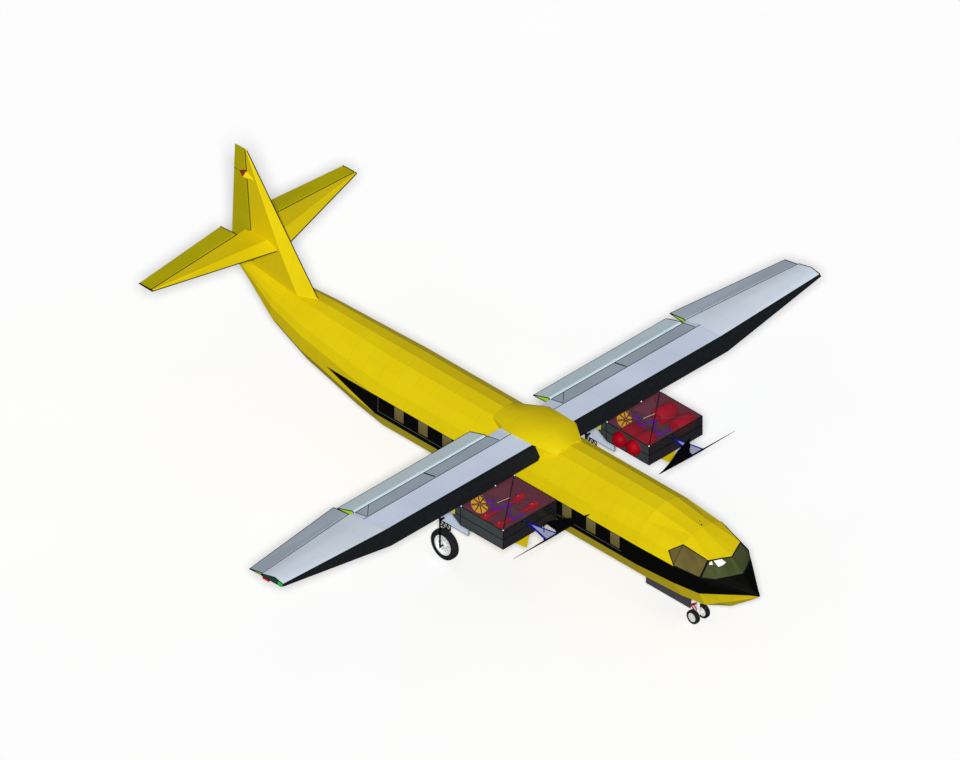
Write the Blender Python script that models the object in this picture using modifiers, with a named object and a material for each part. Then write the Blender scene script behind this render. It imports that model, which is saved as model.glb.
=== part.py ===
"""A nineteen-seat high-wing regional airliner with two piston engines, standing on its wheels.

+X is the aircraft's left side, +Y is aft and +Z is up, in metres. Places along the aircraft are stations,
measured aft from the nose tip, and heights are measured from the ground.
"""
import math

import bmesh
import bpy
from mathutils import Matrix, Vector

# Driving dimensions
LENGTH = 17.36              # nose tip to the rudder's trailing edge
BODY_RADIUS = 1.036         # corners of the constant fuselage section
BODY_HEIGHT = 1.835         # centre of that section above the ground
TAPER_END = 3.05            # the nose reaches the constant section
NOSE_END = 3.55             # nose section meets the cabin
CABIN_END = 11.65           # cabin meets the tail cone
GAP = 0.0003                # between pieces that touch
RUNNING_GAP = 0.006         # between pieces that move past each other
WALL = 0.05                 # fuselage skin with its frames and lining

ENGINE_SIDE = 2.40          # centreline of each nacelle, wheel and propeller
WING_BREAK = 5.54           # end of the level inner wing panel
WING_TIP = 8.83

MAIN_STATION = 7.95         # main wheel axle
MAIN_RADIUS = 0.40
MAIN_WIDTH = 0.18
NOSE_WHEEL_STATION = 2.01
NOSE_WHEEL_RADIUS = 0.18
NOSE_WHEEL_SIDE = 0.165

PROP_STATION = 4.437        # plane of the propeller blades
PROP_HEIGHT = 2.36
PROP_RADIUS = 1.25

SIDES = {"left": 1, "right": -1}


def place(side, station, height):
    """A point of the aircraft in the part's frame, whose origin is on the ground at mid length."""
    return Vector((side, station - LENGTH / 2, height))


# The scene, its collections and materials
for old in list(bpy.data.objects):
    bpy.data.objects.remove(old, do_unlink=True)

parts = bpy.data.collections.new("piston_regional_airliner")
cutters = bpy.data.collections.new("cutters")
for collection in (parts, cutters):
    bpy.context.scene.collection.children.link(collection)


def colour(hex_code):
    """Linear RGBA of an sRGB hex code."""
    channels = [int(hex_code[i:i + 2], 16) / 255 for i in (1, 3, 5)]
    return [c / 12.92 if c <= 0.04045 else ((c + 0.055) / 1.055) ** 2.4 for c in channels] + [1.0]


FINISHES = {
    # name: hex, roughness, metallic
    "yellow_paint": ("#d8c010", 0.45, 0.0),
    "olive_paint": ("#9b910a", 0.5, 0.0),
    "pale_blue_paint": ("#b4bed0", 0.5, 0.0),
    "grey_blue_paint": ("#8b94a5", 0.5, 0.0),
    "black_boot": ("#0f1419", 0.7, 0.0),
    "charcoal_paint": ("#3c4444", 0.6, 0.0),
    "maroon_cover": ("#693740", 0.3, 0.0),
    "smoked_glass": ("#5c5737", 0.1, 0.0),
    "tyre_rubber": ("#16181a", 0.9, 0.0),
    "white_paint": ("#e8ecec", 0.4, 0.0),
    "blue_paint": ("#1c14a0", 0.4, 0.0),
    "red_paint": ("#b00018", 0.4, 0.0),
    "green_lens": ("#18c832", 0.2, 0.0),
    "black_paint": ("#0a0a0c", 0.5, 0.0),
    "engine_metal": ("#5a5652", 0.4, 0.8),
}


def finish(obj, name):
    """Gives an object its own Principled material."""
    hex_code, roughness, metallic = FINISHES[name]
    material = bpy.data.materials.new(f"{name}_{obj.name}")
    material.use_nodes = True
    shader = material.node_tree.nodes["Principled BSDF"]
    shader.inputs["Base Color"].default_value = colour(hex_code)
    shader.inputs["Roughness"].default_value = roughness
    shader.inputs["Metallic"].default_value = metallic
    obj.data.materials.clear()
    obj.data.materials.append(material)


# Ways of making a piece
def new_object(name, mesh_maker, finish_name=None, collection=parts, origin=(0, 0, 0)):
    """An object from a bmesh whose vertices are in the part's frame; its origin goes to the given point."""
    bm = bmesh.new()
    mesh_maker(bm)
    bmesh.ops.recalc_face_normals(bm, faces=bm.faces)
    bmesh.ops.translate(bm, verts=bm.verts, vec=-Vector(origin))
    mesh = bpy.data.meshes.new(name)
    bm.to_mesh(mesh)
    bm.free()
    obj = bpy.data.objects.new(name, mesh)
    obj.location = origin
    collection.objects.link(obj)
    if finish_name:
        finish(obj, finish_name)
    return obj


def cutter(name, mesh_maker):
    """A guide solid that only cuts others."""
    obj = new_object(name, mesh_maker, collection=cutters)
    obj.hide_render = True
    obj.display_type = "WIRE"
    return obj


def cut(obj, tool, operation="DIFFERENCE"):
    """Takes the tool out of the object, or joins it, with an exact Boolean."""
    modifier = obj.modifiers.new(tool.name, "BOOLEAN")
    modifier.operation = operation
    modifier.solver = "EXACT"
    modifier.object = tool


def loft(bm, rings):
    """Skins closed rings of equal length and caps both ends. Twisted quads are split, so every face is flat."""
    loops = [[bm.verts.new(p) for p in ring] for ring in rings]
    quads = []
    for near, far in zip(loops, loops[1:]):
        for i in range(len(near)):
            j = (i + 1) % len(near)
            quads.append(bm.faces.new((near[i], near[j], far[j], far[i])))
    bmesh.ops.triangulate(bm, faces=quads, quad_method="SHORT_EDGE")
    bm.faces.new(loops[0])
    bm.faces.new(reversed(loops[-1]))


def box(bm, low, high):
    """A block between two corners."""
    centre = (Vector(low) + Vector(high)) / 2
    size = [abs(b - a) for a, b in zip(low, high)]
    bmesh.ops.create_cube(bm, size=1, matrix=Matrix.Translation(centre) @ Matrix.Diagonal((*size, 1)))


def rod(bm, start, end, radius, segments=12):
    """A round bar between two points."""
    start, end = Vector(start), Vector(end)
    turn = (end - start).to_track_quat("Z", "Y").to_matrix().to_4x4()
    bmesh.ops.create_cone(
        bm, cap_ends=True, segments=segments, radius1=radius, radius2=radius,
        depth=(end - start).length, matrix=Matrix.Translation((start + end) / 2) @ turn)


def turned(name, profile, centre, finish_name, segments=32):
    """A ring or disc turned about an axle along X, from (radius, side) pairs, with a flat of it at the foot."""
    bm = bmesh.new()
    half_step = math.pi / segments
    verts = [bm.verts.new((radius * math.tan(half_step), radius, side)) for radius, side in profile]
    for first, second in zip(verts, verts[1:] + verts[:1]):
        bm.edges.new((first, second))
    mesh = bpy.data.meshes.new(name)
    bm.to_mesh(mesh)
    bm.free()
    obj = bpy.data.objects.new(name, mesh)
    parts.objects.link(obj)
    spin = obj.modifiers.new("turn", "SCREW")
    spin.axis = "Z"
    spin.steps = spin.render_steps = segments
    spin.use_merge_vertices = True
    spin.merge_threshold = 0.0001
    obj.rotation_euler = (0, math.radians(90), 0)
    obj.location = centre
    finish(obj, finish_name)
    return obj


def union(name, makers, finish_name, origin=(0, 0, 0)):
    """One solid from several overlapping ones."""
    obj = new_object(name, makers[0], finish_name, origin=origin)
    for number, maker in enumerate(makers[1:]):
        cut(obj, cutter(f"{name}_{number + 1}", maker), "UNION")
    return obj


# Hinges of the control surfaces: lugs on the fixed side stand in slots of the surface, on short pins
LUG_HALF = 0.012            # half width along the hinge line
PIN_END = 0.030             # length of pin beyond the slot
PIN_PLAY = 0.0005           # between a pin and its bore, on the radius


def across_hinge(centre, ahead, along, points):
    """Points given as (ahead of the hinge, upward of it), in the plane across the hinge line."""
    up = ahead.cross(along).normalized()
    return [centre + ahead * a + up * u for a, u in points]


def hinge(carrier, surface, line, shares, ahead, reach, radius):
    """Joins a surface to its carrier with a lug and a pin at each share of the hinge line."""
    start, end = (Vector(p) for p in line)
    along = (end - start).normalized()
    ahead = Vector(ahead)
    arc = [math.radians(a) for a in range(90, 271, 30)]
    lug = [(reach, radius)] + [(radius * math.cos(a), radius * math.sin(a)) for a in arc] + [(reach, -radius)]
    back = -radius - 2 * RUNNING_GAP
    slot = [(0.2, 0.2), (back, 0.2), (back, -0.2), (0.2, -0.2)]
    centres = [start.lerp(end, share) for share in shares]

    def prisms(bm, outline, half):
        for centre in centres:
            loft(bm, [across_hinge(centre + along * way * half, ahead, along, outline) for way in (-1, 1)])

    def pins(bm, growth):
        for centre in centres:
            half = along * (LUG_HALF + RUNNING_GAP + PIN_END + growth)
            rod(bm, centre - half, centre + half, 0.45 * radius + growth, 16)

    cut(surface, cutter(f"{surface.name}_slots", lambda bm: prisms(bm, slot, LUG_HALF + RUNNING_GAP)))
    cut(surface, cutter(f"{surface.name}_bores", lambda bm: pins(bm, PIN_PLAY)))
    cut(carrier, cutter(f"{surface.name}_lugs", lambda bm: prisms(bm, lug, LUG_HALF)), "UNION")
    cut(carrier, cutter(f"{surface.name}_pins", lambda bm: pins(bm, 0)), "UNION")


# Fuselage, a faceted tube of sixteen corners whose flat sides carry the cabin windows
CORNERS = [math.radians(a) for a in (0, 20, 40, 58, 75, 105, 135, 165)]   # from the crown down


def whole_ring(half, station=None):
    """Both sides of a section from its left half, given as (side, height) or (side, station, height)."""
    points = [place(*p) if len(p) == 3 else place(p[0], station, p[1]) for p in half]
    mirrored = [Vector((-p.x, p.y, p.z)) for p in points[1:]]
    return points + mirrored[::-1]


def body_half(height, radius):
    """Left half of a regular fuselage section."""
    return [(radius * math.sin(a), height + radius * math.cos(a)) for a in CORNERS]


def inner_ring(ring, wall, floor=0.0):
    """A section drawn in by the wall's thickness, and no lower than the floor."""
    centre = sum(ring, Vector()) / len(ring)
    inner = []
    for point in ring:
        inward = Vector((centre.x - point.x, 0, centre.z - point.z)).normalized() * wall
        moved = point + inward
        moved.z = max(moved.z, floor)
        inner.append(moved)
    return inner


# Nose sections, tip first. Corners run crown, roof, eave, upper side, sill, chine, bilge, keel as
# (side, height), and the two rings round the windscreen also give each corner its own station.
NOSE_TIP = [(0.02 * math.sin(a), 1.687 + 0.02 * math.cos(a)) for a in CORNERS]
NOSE_CAP = [(0, 1.835), (0.07, 1.822), (0.115, 1.79), (0.145, 1.755), (0.155, 1.72), (0.155, 1.685), (0.11, 1.56),
            (0.04, 1.505)]
SCREEN_FOOT = [(0, 0.527, 2.051), (0.30, 0.690, 2.030), (0.585, 0.880, 1.992), (0.6925, 1.020, 2.004),
               (0.655, 0.90, 1.86), (0.61, 0.84, 1.625), (0.42, 0.80, 1.31), (0.15, 0.77, 1.10)]
SCREEN_HEAD = [(0, 0.918, 2.365), (0.26, 1.040, 2.385), (0.52, 1.160, 2.393), (0.66, 1.160, 2.2045),
               (0.80, 1.160, 2.016), (0.79, 1.20, 1.555), (0.60, 1.20, 1.145), (0.22, 1.20, 0.945)]
COCKPIT_REAR = [(0, 2.705), (0.33, 2.66), (0.625, 2.545), (0.82, 2.30), (0.955, 2.085), (0.930, 1.585), (0.70, 1.13),
                (0.25, 0.870)]
NOSE_CAP_STATION = 0.20
COCKPIT_REAR_STATION = 1.88
BODY_HALF = body_half(BODY_HEIGHT, BODY_RADIUS)

cap_ring = whole_ring(NOSE_CAP, NOSE_CAP_STATION)
foot_ring = whole_ring(SCREEN_FOOT)
head_ring = whole_ring(SCREEN_HEAD)
rear_ring = whole_ring(COCKPIT_REAR, COCKPIT_REAR_STATION)
nose_rings = [whole_ring(NOSE_TIP, 0), cap_ring, foot_ring, head_ring, rear_ring,
              whole_ring(BODY_HALF, TAPER_END), whole_ring(BODY_HALF, NOSE_END - GAP / 2)]

nose = new_object("nose_section", lambda bm: loft(bm, nose_rings), "yellow_paint")

# Cockpit, hollow behind its windows
COCKPIT_FLOOR = 1.30
BULKHEAD = 2.86             # front face of the wall between cockpit and cabin


def cockpit_hollow(bm):
    """The room behind the windows, from the windscreen's foot to the bulkhead."""
    rings = [inner_ring(ring, WALL, COCKPIT_FLOOR) for ring in (foot_ring, head_ring, rear_ring)]
    for point in rings[0]:
        point.y += WALL
    rings.append(inner_ring(whole_ring(BODY_HALF, BULKHEAD), WALL, COCKPIT_FLOOR))
    loft(bm, rings)


cut(nose, cutter("cockpit_hollow", cockpit_hollow))

# Windows of the cockpit, as the faces of the nose they lie in: corner indices from the crown down
PANE_THICKNESS = 0.02
FRAME = 0.022               # painted frame around each pane
SEAL_SHRINK = 0.998
CROWN, ROOF, EAVE, UPPER, SILL = range(5)
QUARTER_STATION = 2.18


def on_side(point, side):
    """A point of the left side, or its mirror image."""
    return Vector((point.x * side, point.y, point.z))


def screen_faces():
    """Windscreen, both halves in one pane."""
    faces = []
    for side in (1, -1):
        foot = [on_side(p, side) for p in foot_ring[:5]]
        head = [on_side(p, side) for p in head_ring[:5]]
        faces += [[head[CROWN], head[ROOF], foot[ROOF], foot[CROWN]],
                  [head[ROOF], head[EAVE], foot[EAVE], foot[ROOF]],
                  [head[EAVE], head[SILL], foot[EAVE]]]
    return faces


def side_faces(side):
    """One side window, whose rear corner runs back to a point."""
    head = [on_side(p, side) for p in head_ring[:5]]
    rear = [on_side(p, side) for p in rear_ring[:5]]
    faces = [[head[EAVE], rear[EAVE], rear[UPPER], head[UPPER]],
             [head[UPPER], rear[UPPER], rear[SILL], head[SILL]]]
    body = [on_side(p, side) for p in whole_ring(BODY_HALF, TAPER_END)[:5]]
    share = (QUARTER_STATION - COCKPIT_REAR_STATION) / (TAPER_END - COCKPIT_REAR_STATION)
    corner = rear[UPPER].lerp(body[UPPER], share)
    return faces + [[rear[EAVE], corner, rear[UPPER]], [rear[UPPER], corner, rear[SILL]]]


def pane_slab(name, faces, push, shrink=1.0, finish_name=None):
    """Joined faces inside their painted frame, shrunk to their middle and drawn out both ways along the push."""
    bm = bmesh.new()
    for face in faces:
        bm.faces.new([bm.verts.new(p) for p in face])
    bmesh.ops.remove_doubles(bm, verts=bm.verts, dist=0.0005)
    bmesh.ops.recalc_face_normals(bm, faces=bm.faces)
    rim = bmesh.ops.inset_region(bm, faces=bm.faces, thickness=FRAME, use_even_offset=True, use_boundary=True)
    bmesh.ops.delete(bm, geom=rim["faces"], context="FACES")
    bmesh.ops.triangulate(bm, faces=bm.faces, quad_method="SHORT_EDGE")
    middle = sum((v.co for v in bm.verts), Vector()) / len(bm.verts)
    for vert in bm.verts:
        vert.co = middle.lerp(vert.co, shrink) - Vector(push)
    outer = bmesh.ops.extrude_face_region(bm, geom=list(bm.faces))["geom"]
    moved = [item for item in outer if isinstance(item, bmesh.types.BMVert)]
    bmesh.ops.translate(bm, verts=moved, vec=2 * Vector(push))
    bmesh.ops.recalc_face_normals(bm, faces=bm.faces)
    mesh = bpy.data.meshes.new(name)
    bm.to_mesh(mesh)
    bm.free()
    obj = bpy.data.objects.new(name, mesh)
    (parts if finish_name else cutters).objects.link(obj)
    if finish_name:
        finish(obj, finish_name)
    else:
        obj.hide_render = True
        obj.display_type = "WIRE"
    return obj


nose_outline = cutter("nose_outline", lambda bm: loft(bm, nose_rings[1:]))
nose_lining = cutter("nose_lining", lambda bm: loft(bm, [inner_ring(r, PANE_THICKNESS) for r in nose_rings[1:]]))


def pane(name, faces, push):
    """A window: a slab of the skin, shrunk by its rubber seal, and the opening that it fills."""
    glass = pane_slab(name, faces, push, SEAL_SHRINK, "smoked_glass")
    cut(glass, nose_outline, "INTERSECT")
    cut(glass, nose_lining)
    cut(nose, pane_slab(f"{name}_opening", faces, push))


pane("windscreen", screen_faces(), (0, -0.11, 0.11))
for label, side in SIDES.items():
    pane(f"side_window_{label}", side_faces(side), (side * 0.14, 0, 0.08))

# Cockpit fittings that show through the glass
SEAT_SIDE = 0.34
SEAT_WIDTH = 0.40


def seat_makers():
    """Both pilots' seats on one floor rail."""
    floor = COCKPIT_FLOOR + GAP
    makers = [lambda bm: box(bm, place(-0.5, 2.10, floor), place(0.5, 2.30, floor + 0.06))]
    for side in (1, -1):
        low, high = side * SEAT_SIDE - SEAT_WIDTH / 2, side * SEAT_SIDE + SEAT_WIDTH / 2
        makers.append(lambda bm, a=low, b=high: box(bm, place(a, 1.95, floor + 0.04), place(b, 2.42, floor + 0.36)))
        makers.append(lambda bm, a=low, b=high: box(bm, place(a, 2.32, floor + 0.30), place(b, 2.44, floor + 1.0)))
    return makers


union("pilot_seats", seat_makers(), "engine_metal")
new_object("instrument_panel", lambda bm: box(bm, place(-0.46, 1.30, COCKPIT_FLOOR + GAP),
                                              place(0.46, 1.42, COCKPIT_FLOOR + 0.62)), "charcoal_paint")

# Cabin, solid, and the tail cone, hollow back to the fin
cabin = new_object("cabin_section", lambda bm: loft(bm, [
    whole_ring(BODY_HALF, NOSE_END + GAP / 2), whole_ring(BODY_HALF, CABIN_END - GAP / 2)]), "yellow_paint")

TAIL_SECTIONS = [
    # station, height of the centre, radius
    (CABIN_END + GAP / 2, BODY_HEIGHT, BODY_RADIUS),
    (12.55, 1.904, 0.964),
    (14.35, 2.110, 0.775),
    (15.55, 2.316, 0.559),
    (16.55, 2.623, 0.252),
    (17.08, 2.770, 0.100),
]


def tail_rings(growth=0.0):
    """Sections of the tail cone, from the cabin to its end."""
    return [whole_ring(body_half(height, radius + growth), station) for station, height, radius in TAIL_SECTIONS]


def tail_hollow(bm):
    """The baggage room behind the cabin."""
    rings = tail_rings(-WALL)[:3]
    for point in rings[0]:
        point.y -= WALL
    loft(bm, rings)


tail = new_object("tail_cone", lambda bm: loft(bm, tail_rings()), "yellow_paint")
cut(tail, cutter("tail_hollow", tail_hollow))

body_clearance = cutter("body_clearance", lambda bm: loft(bm, [
    whole_ring(body_half(BODY_HEIGHT, BODY_RADIUS + 2 * GAP), s) for s in (NOSE_END, CABIN_END)]))
tail_clearance = cutter("tail_clearance", lambda bm: loft(bm, tail_rings(2 * GAP)))

# Fairing over the wing's centre section
FAIRING_SECTIONS = [
    # station, half width, height of the top
    (6.24, 0.40, 2.90),
    (6.72, 0.68, 3.05),
    (7.60, 0.68, 3.07),
    (8.35, 0.42, 2.92),
]
FAIRING_SEAM = 0.003        # sealant gap between the fairing and the wings
FAIRING_ROOT = 2.45         # deep enough to be trimmed to the body's facets


def fairing_rings(growth=0.0):
    """Chamfered sections from the top down into the body, which then trims them."""
    rings = []
    for station, width, top in FAIRING_SECTIONS:
        width += growth
        top += growth
        rings.append(whole_ring([(0, top), (0.6 * width, top - 0.01), (width, top - 0.12), (width, FAIRING_ROOT)],
                                station))
    for ring, reach in ((rings[0], -growth), (rings[-1], growth)):
        for point in ring:
            point.y += reach
    return rings


wing_fairing = new_object("wing_fairing", lambda bm: loft(bm, fairing_rings()), "yellow_paint")
cut(wing_fairing, body_clearance)
fairing_clearance = cutter("fairing_clearance", lambda bm: loft(bm, fairing_rings(FAIRING_SEAM)))

# Wing. Each corner of its section is (station, height) at the inner panel, at the break and at the tip.
BOOT_FOOT = ((6.58, 2.60), (6.58, 2.60), (6.79, 2.990))
BOOT_TOP = ((6.70, 2.94), (6.70, 2.94), (6.805, 3.005))
BOOT_REAR_TOP = ((6.80, 2.936), (6.80, 2.936), (6.8555, 3.0222))
BOOT_REAR_FOOT = ((6.70, 2.567), (6.70, 2.567), (6.84, 2.965))
CREASE = ((7.48, 2.91), (7.48, 2.91), (7.12, 3.080))
BOX_TOP = ((7.915, 2.816), (7.975, 2.800), (7.545, 2.969))
BOX_FOOT = ((7.915, 2.66), (7.975, 2.69), (7.545, 2.92))
BELLY = ((6.85, 2.54), (6.85, 2.54), (6.90, 2.930))
WING_ROOT = 0.45
INNER, BREAK, TIP = range(3)
WING_STATIONS = ((WING_ROOT, INNER), (WING_BREAK - 0.002, INNER), (WING_BREAK, BREAK), (WING_TIP, TIP))


def wing_rings(side, corners, shift=0.0):
    """Wing sections from root to tip on one side, moved aft by the shift."""
    return [[place(side * x, corner[panel][0] + shift, corner[panel][1]) for corner in corners]
            for x, panel in WING_STATIONS]


def surface_ring(x, hinge, radius, edge, half_edge=0.006):
    """Section of a hinged surface: a round nose about the hinge, tapering to its trailing edge."""
    aft = Vector((edge[0] - hinge[0], edge[1] - hinge[1]))
    angle = math.atan2(aft.y, aft.x)
    outline = [(hinge[0] + radius * math.cos(angle + math.radians(a)),
                hinge[1] + radius * math.sin(angle + math.radians(a))) for a in range(90, 271, 30)]
    normal = Vector((-aft.y, aft.x)).normalized() * half_edge
    outline += [(edge[0] - normal.x, edge[1] - normal.y), (edge[0] + normal.x, edge[1] + normal.y)]
    return [place(x, *p) for p in outline]


def hinged(name, finish_name, ends):
    """A control surface lofted between two ends of (side, hinge, nose radius, trailing edge)."""
    rings = [surface_ring(*end) for end in ends]
    side, hinge = ends[0][:2]
    return new_object(name, lambda bm: loft(bm, rings), finish_name, origin=place(side, *hinge))


FLAP_HINGE = (7.995, 2.74)
FLAP_EDGE = (8.48, 2.647)
FLAP_NOSE = 0.07
FLAP_SPAN = (1.05, 5.40)
AILERON_ENDS = ((5.54, (8.035, 2.745), 0.050, (8.48, 2.734)), (8.80, (7.585, 2.935), 0.028, (7.966, 2.883)))
SPOILER_SPLIT = 3.14
SPOILER_DEPTH = 0.035
SPOILER_FRONT = 7.49
SPOILER_REAR = 7.905


def spoiler_height(station):
    """Height of the wing's skin between the crease and the rear spar."""
    (front, high), (rear, low) = CREASE[INNER], BOX_TOP[INNER]
    return high + (low - high) * (station - front) / (rear - front)


def spoiler_block(bm, span, front, rear, top, bottom):
    """A slab in the wing's falling upper skin, between heights above and below that skin."""
    outline = [(front, spoiler_height(front) + top), (rear, spoiler_height(rear) + top),
               (rear, spoiler_height(rear) + bottom), (front, spoiler_height(front) + bottom)]
    loft(bm, [[place(x, *p) for p in outline] for x in span])


for label, side in SIDES.items():
    boot = new_object(f"leading_edge_{label}", lambda bm: loft(bm, wing_rings(
        side, (BOOT_FOOT, BOOT_TOP, BOOT_REAR_TOP, BOOT_REAR_FOOT))), "black_boot")
    wing = new_object(f"wing_{label}", lambda bm: loft(bm, wing_rings(
        side, (BOOT_REAR_FOOT, BOOT_REAR_TOP, CREASE, BOX_TOP, BOX_FOOT, BELLY), GAP)), "pale_blue_paint")
    for piece in (boot, wing):
        cut(piece, body_clearance)
        cut(piece, fairing_clearance)
    well_span = (side * (FLAP_SPAN[0] - 0.01), side * (FLAP_SPAN[1] + 0.01))
    cut(wing, cutter(f"spoiler_well_{label}", lambda bm: spoiler_block(
        bm, well_span, SPOILER_FRONT - RUNNING_GAP, 8.2, 0.1, -SPOILER_DEPTH - GAP)))
    hinge_line = place(side * SPOILER_SPLIT, SPOILER_FRONT, spoiler_height(SPOILER_FRONT))
    spoiler = new_object(f"spoiler_{label}", lambda bm: spoiler_block(
        bm, [side * x for x in FLAP_SPAN], SPOILER_FRONT, SPOILER_REAR, 0, -SPOILER_DEPTH), "grey_blue_paint",
        origin=hinge_line)
    cut(spoiler, cutter(f"spoiler_split_{label}", lambda bm: spoiler_block(
        bm, [side * SPOILER_SPLIT + reach for reach in (-0.02, 0.02)], SPOILER_FRONT + 0.03, 8.2, 0.1, -0.1)))
    flap = hinged(f"flap_{label}", "pale_blue_paint",
                  [(side * x, FLAP_HINGE, FLAP_NOSE, FLAP_EDGE) for x in FLAP_SPAN])
    hinge(wing, flap, [place(side * x, *FLAP_HINGE) for x in FLAP_SPAN], (0.12, 0.5, 0.88), (0, -1, 0), 0.10, 0.024)
    aileron = hinged(f"aileron_{label}", "grey_blue_paint", [(side * end[0], *end[1:]) for end in AILERON_ENDS])
    hinge(wing, aileron, [place(side * end[0], *end[1]) for end in AILERON_ENDS], (0.15, 0.75), (0, -1, 0), 0.085,
          0.018)

# Position lamps on the tips' leading edges
LAMP_OUTLINE = [(6.85, 2.968), (6.87, 3.018), (6.98, 3.035), (6.98, 2.955)]
for label, side in SIDES.items():
    new_object(f"tip_lamp_{label}", lambda bm: loft(bm, [
        [place(side * (WING_TIP + reach), *p) for p in LAMP_OUTLINE] for reach in (GAP, 0.03)]),
        "red_paint" if label == "left" else "green_lens")

# Fin and rudder
FIN_SECTIONS = [
    # height, stations of the leading edge, ridge and rear face, half thickness at ridge and rear
    (2.60, 14.29, 14.85, 16.560, 0.21, 0.055),
    (3.75, 15.18, 15.60, 16.680, 0.165, 0.045),
    (5.96, 16.86, 16.885, 16.905, 0.020, 0.018),
]
RUDDER_ENDS = (
    # height, hinge station, nose radius, trailing edge station
    (2.96, 16.660, 0.050, 17.360),
    (5.96, 16.935, 0.020, 17.250),
)


def fin_ring(height, front, ridge, rear, thick_ridge, thick_rear):
    """A section of the fin: a point in front, a ridge and a flat rear face."""
    half = [(thick_ridge, ridge), (thick_rear, rear)]
    return ([place(0, front, height)] + [place(x, s, height) for x, s in half]
            + [place(-x, s, height) for x, s in half[::-1]])


fin = new_object("fin", lambda bm: loft(bm, [fin_ring(*row) for row in FIN_SECTIONS]), "yellow_paint")
cut(fin, tail_clearance)

# Beacon: a four-sided bullet through the fin's rear edge, whose rear half is the lens
BULLET_HEIGHT = 5.275
BULLET_WIDE = 0.148         # half width where the lens starts
BULLET_HIGH = 0.135         # half height there
BULLET_FRONT = 16.42
LENS_FRONT = 16.852
LENS_REAR = 17.12
POINT_SHARE = 0.03          # size of the blunt ends as a share of the full section


def bullet_ring(station, share):
    """A four-sided section of the bullet at a share of its full size."""
    corners = ((BULLET_WIDE, 0), (0, BULLET_HIGH), (-BULLET_WIDE, 0), (0, -BULLET_HIGH))
    return [place(share * x, station, BULLET_HEIGHT + share * z) for x, z in corners]


cut(fin, cutter("beacon_bullet", lambda bm: loft(bm, [
    bullet_ring(BULLET_FRONT, POINT_SHARE), bullet_ring(LENS_FRONT, 1)])), "UNION")
new_object("beacon", lambda bm: loft(bm, [
    bullet_ring(LENS_FRONT + GAP, 1), bullet_ring(LENS_REAR, POINT_SHARE)]), "red_paint")
fin_clearance = cutter("fin_clearance", lambda bm: loft(bm, [
    fin_ring(h, front, ridge, rear + 0.02, a + 2 * GAP, b + 2 * GAP) for h, front, ridge, rear, a, b in FIN_SECTIONS]))


def rudder_ring(height, hinge, radius, edge):
    """A section of the rudder: a round nose about the hinge and a thin trailing edge."""
    outline = [(radius * math.cos(math.radians(a)), hinge - radius * math.sin(math.radians(a)))
               for a in range(0, 181, 30)]
    return [place(x, s, height) for x, s in outline + [(-0.006, edge), (0.006, edge)]]


rudder = new_object("rudder", lambda bm: loft(bm, [rudder_ring(*row) for row in RUDDER_ENDS]), "olive_paint",
                    origin=place(0, RUDDER_ENDS[0][1], RUDDER_ENDS[0][0]))
hinge(fin, rudder, [place(0, station, height) for height, station, *_ in RUDDER_ENDS], (0.10, 0.62), (0, -1, 0),
      0.085, 0.020)

# The rudder swings round the lens in a notch of the same taper
NOTCH_FRONT = 16.78
NOTCH_REAR = LENS_REAR + 0.025
notch_half = BULLET_HIGH * (NOTCH_REAR - NOTCH_FRONT) / (LENS_REAR - LENS_FRONT)
NOTCH = [(NOTCH_FRONT, BULLET_HEIGHT + notch_half), (NOTCH_REAR, BULLET_HEIGHT),
         (NOTCH_FRONT, BULLET_HEIGHT - notch_half)]
cut(rudder, cutter("beacon_notch", lambda bm: loft(bm, [[place(x, *p) for p in NOTCH] for x in (-0.2, 0.2)])))

# Tailplane and elevators
TAILPLANE_HEIGHT = 3.75
TAILPLANE_SECTIONS = [
    # side, leading edge, ridge and rear stations, half thickness at ridge and rear
    (0.0, 15.65, 16.05, 16.805, 0.115, 0.045),
    (3.35, 16.60, 16.63, 16.665, 0.018, 0.016),
]
ELEVATOR_ENDS = ((0.40, (16.860, TAILPLANE_HEIGHT), 0.042, (17.33, TAILPLANE_HEIGHT)),
                 (3.35, (16.705, TAILPLANE_HEIGHT), 0.018, (17.05, TAILPLANE_HEIGHT)))


def tailplane_ring(side, x, front, ridge, rear, thick_ridge, thick_rear):
    """A section of the tailplane, alike above and below."""
    top = [(ridge, thick_ridge), (rear, thick_rear)]
    outline = [(front, 0)] + top + [(s, -h) for s, h in top[::-1]]
    return [place(side * x, s, TAILPLANE_HEIGHT + h) for s, h in outline]


rudder_room = cutter("rudder_room", lambda bm: box(
    bm, place(-0.11, 16.665, TAILPLANE_HEIGHT - 0.3), place(0.11, 17.0, TAILPLANE_HEIGHT + 0.3)))
for label, side in SIDES.items():
    half_tail = new_object(f"tailplane_{label}", lambda bm: loft(bm, [
        tailplane_ring(side, *row) for row in TAILPLANE_SECTIONS]), "yellow_paint")
    cut(half_tail, fin_clearance)
    cut(half_tail, rudder_room)
    elevator = hinged(f"elevator_{label}", "olive_paint", [(side * end[0], *end[1:]) for end in ELEVATOR_ENDS])
    hinge(half_tail, elevator, [place(side * end[0], *end[1]) for end in ELEVATOR_ENDS], (0.12, 0.60), (0, -1, 0),
          0.095, 0.016)

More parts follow.
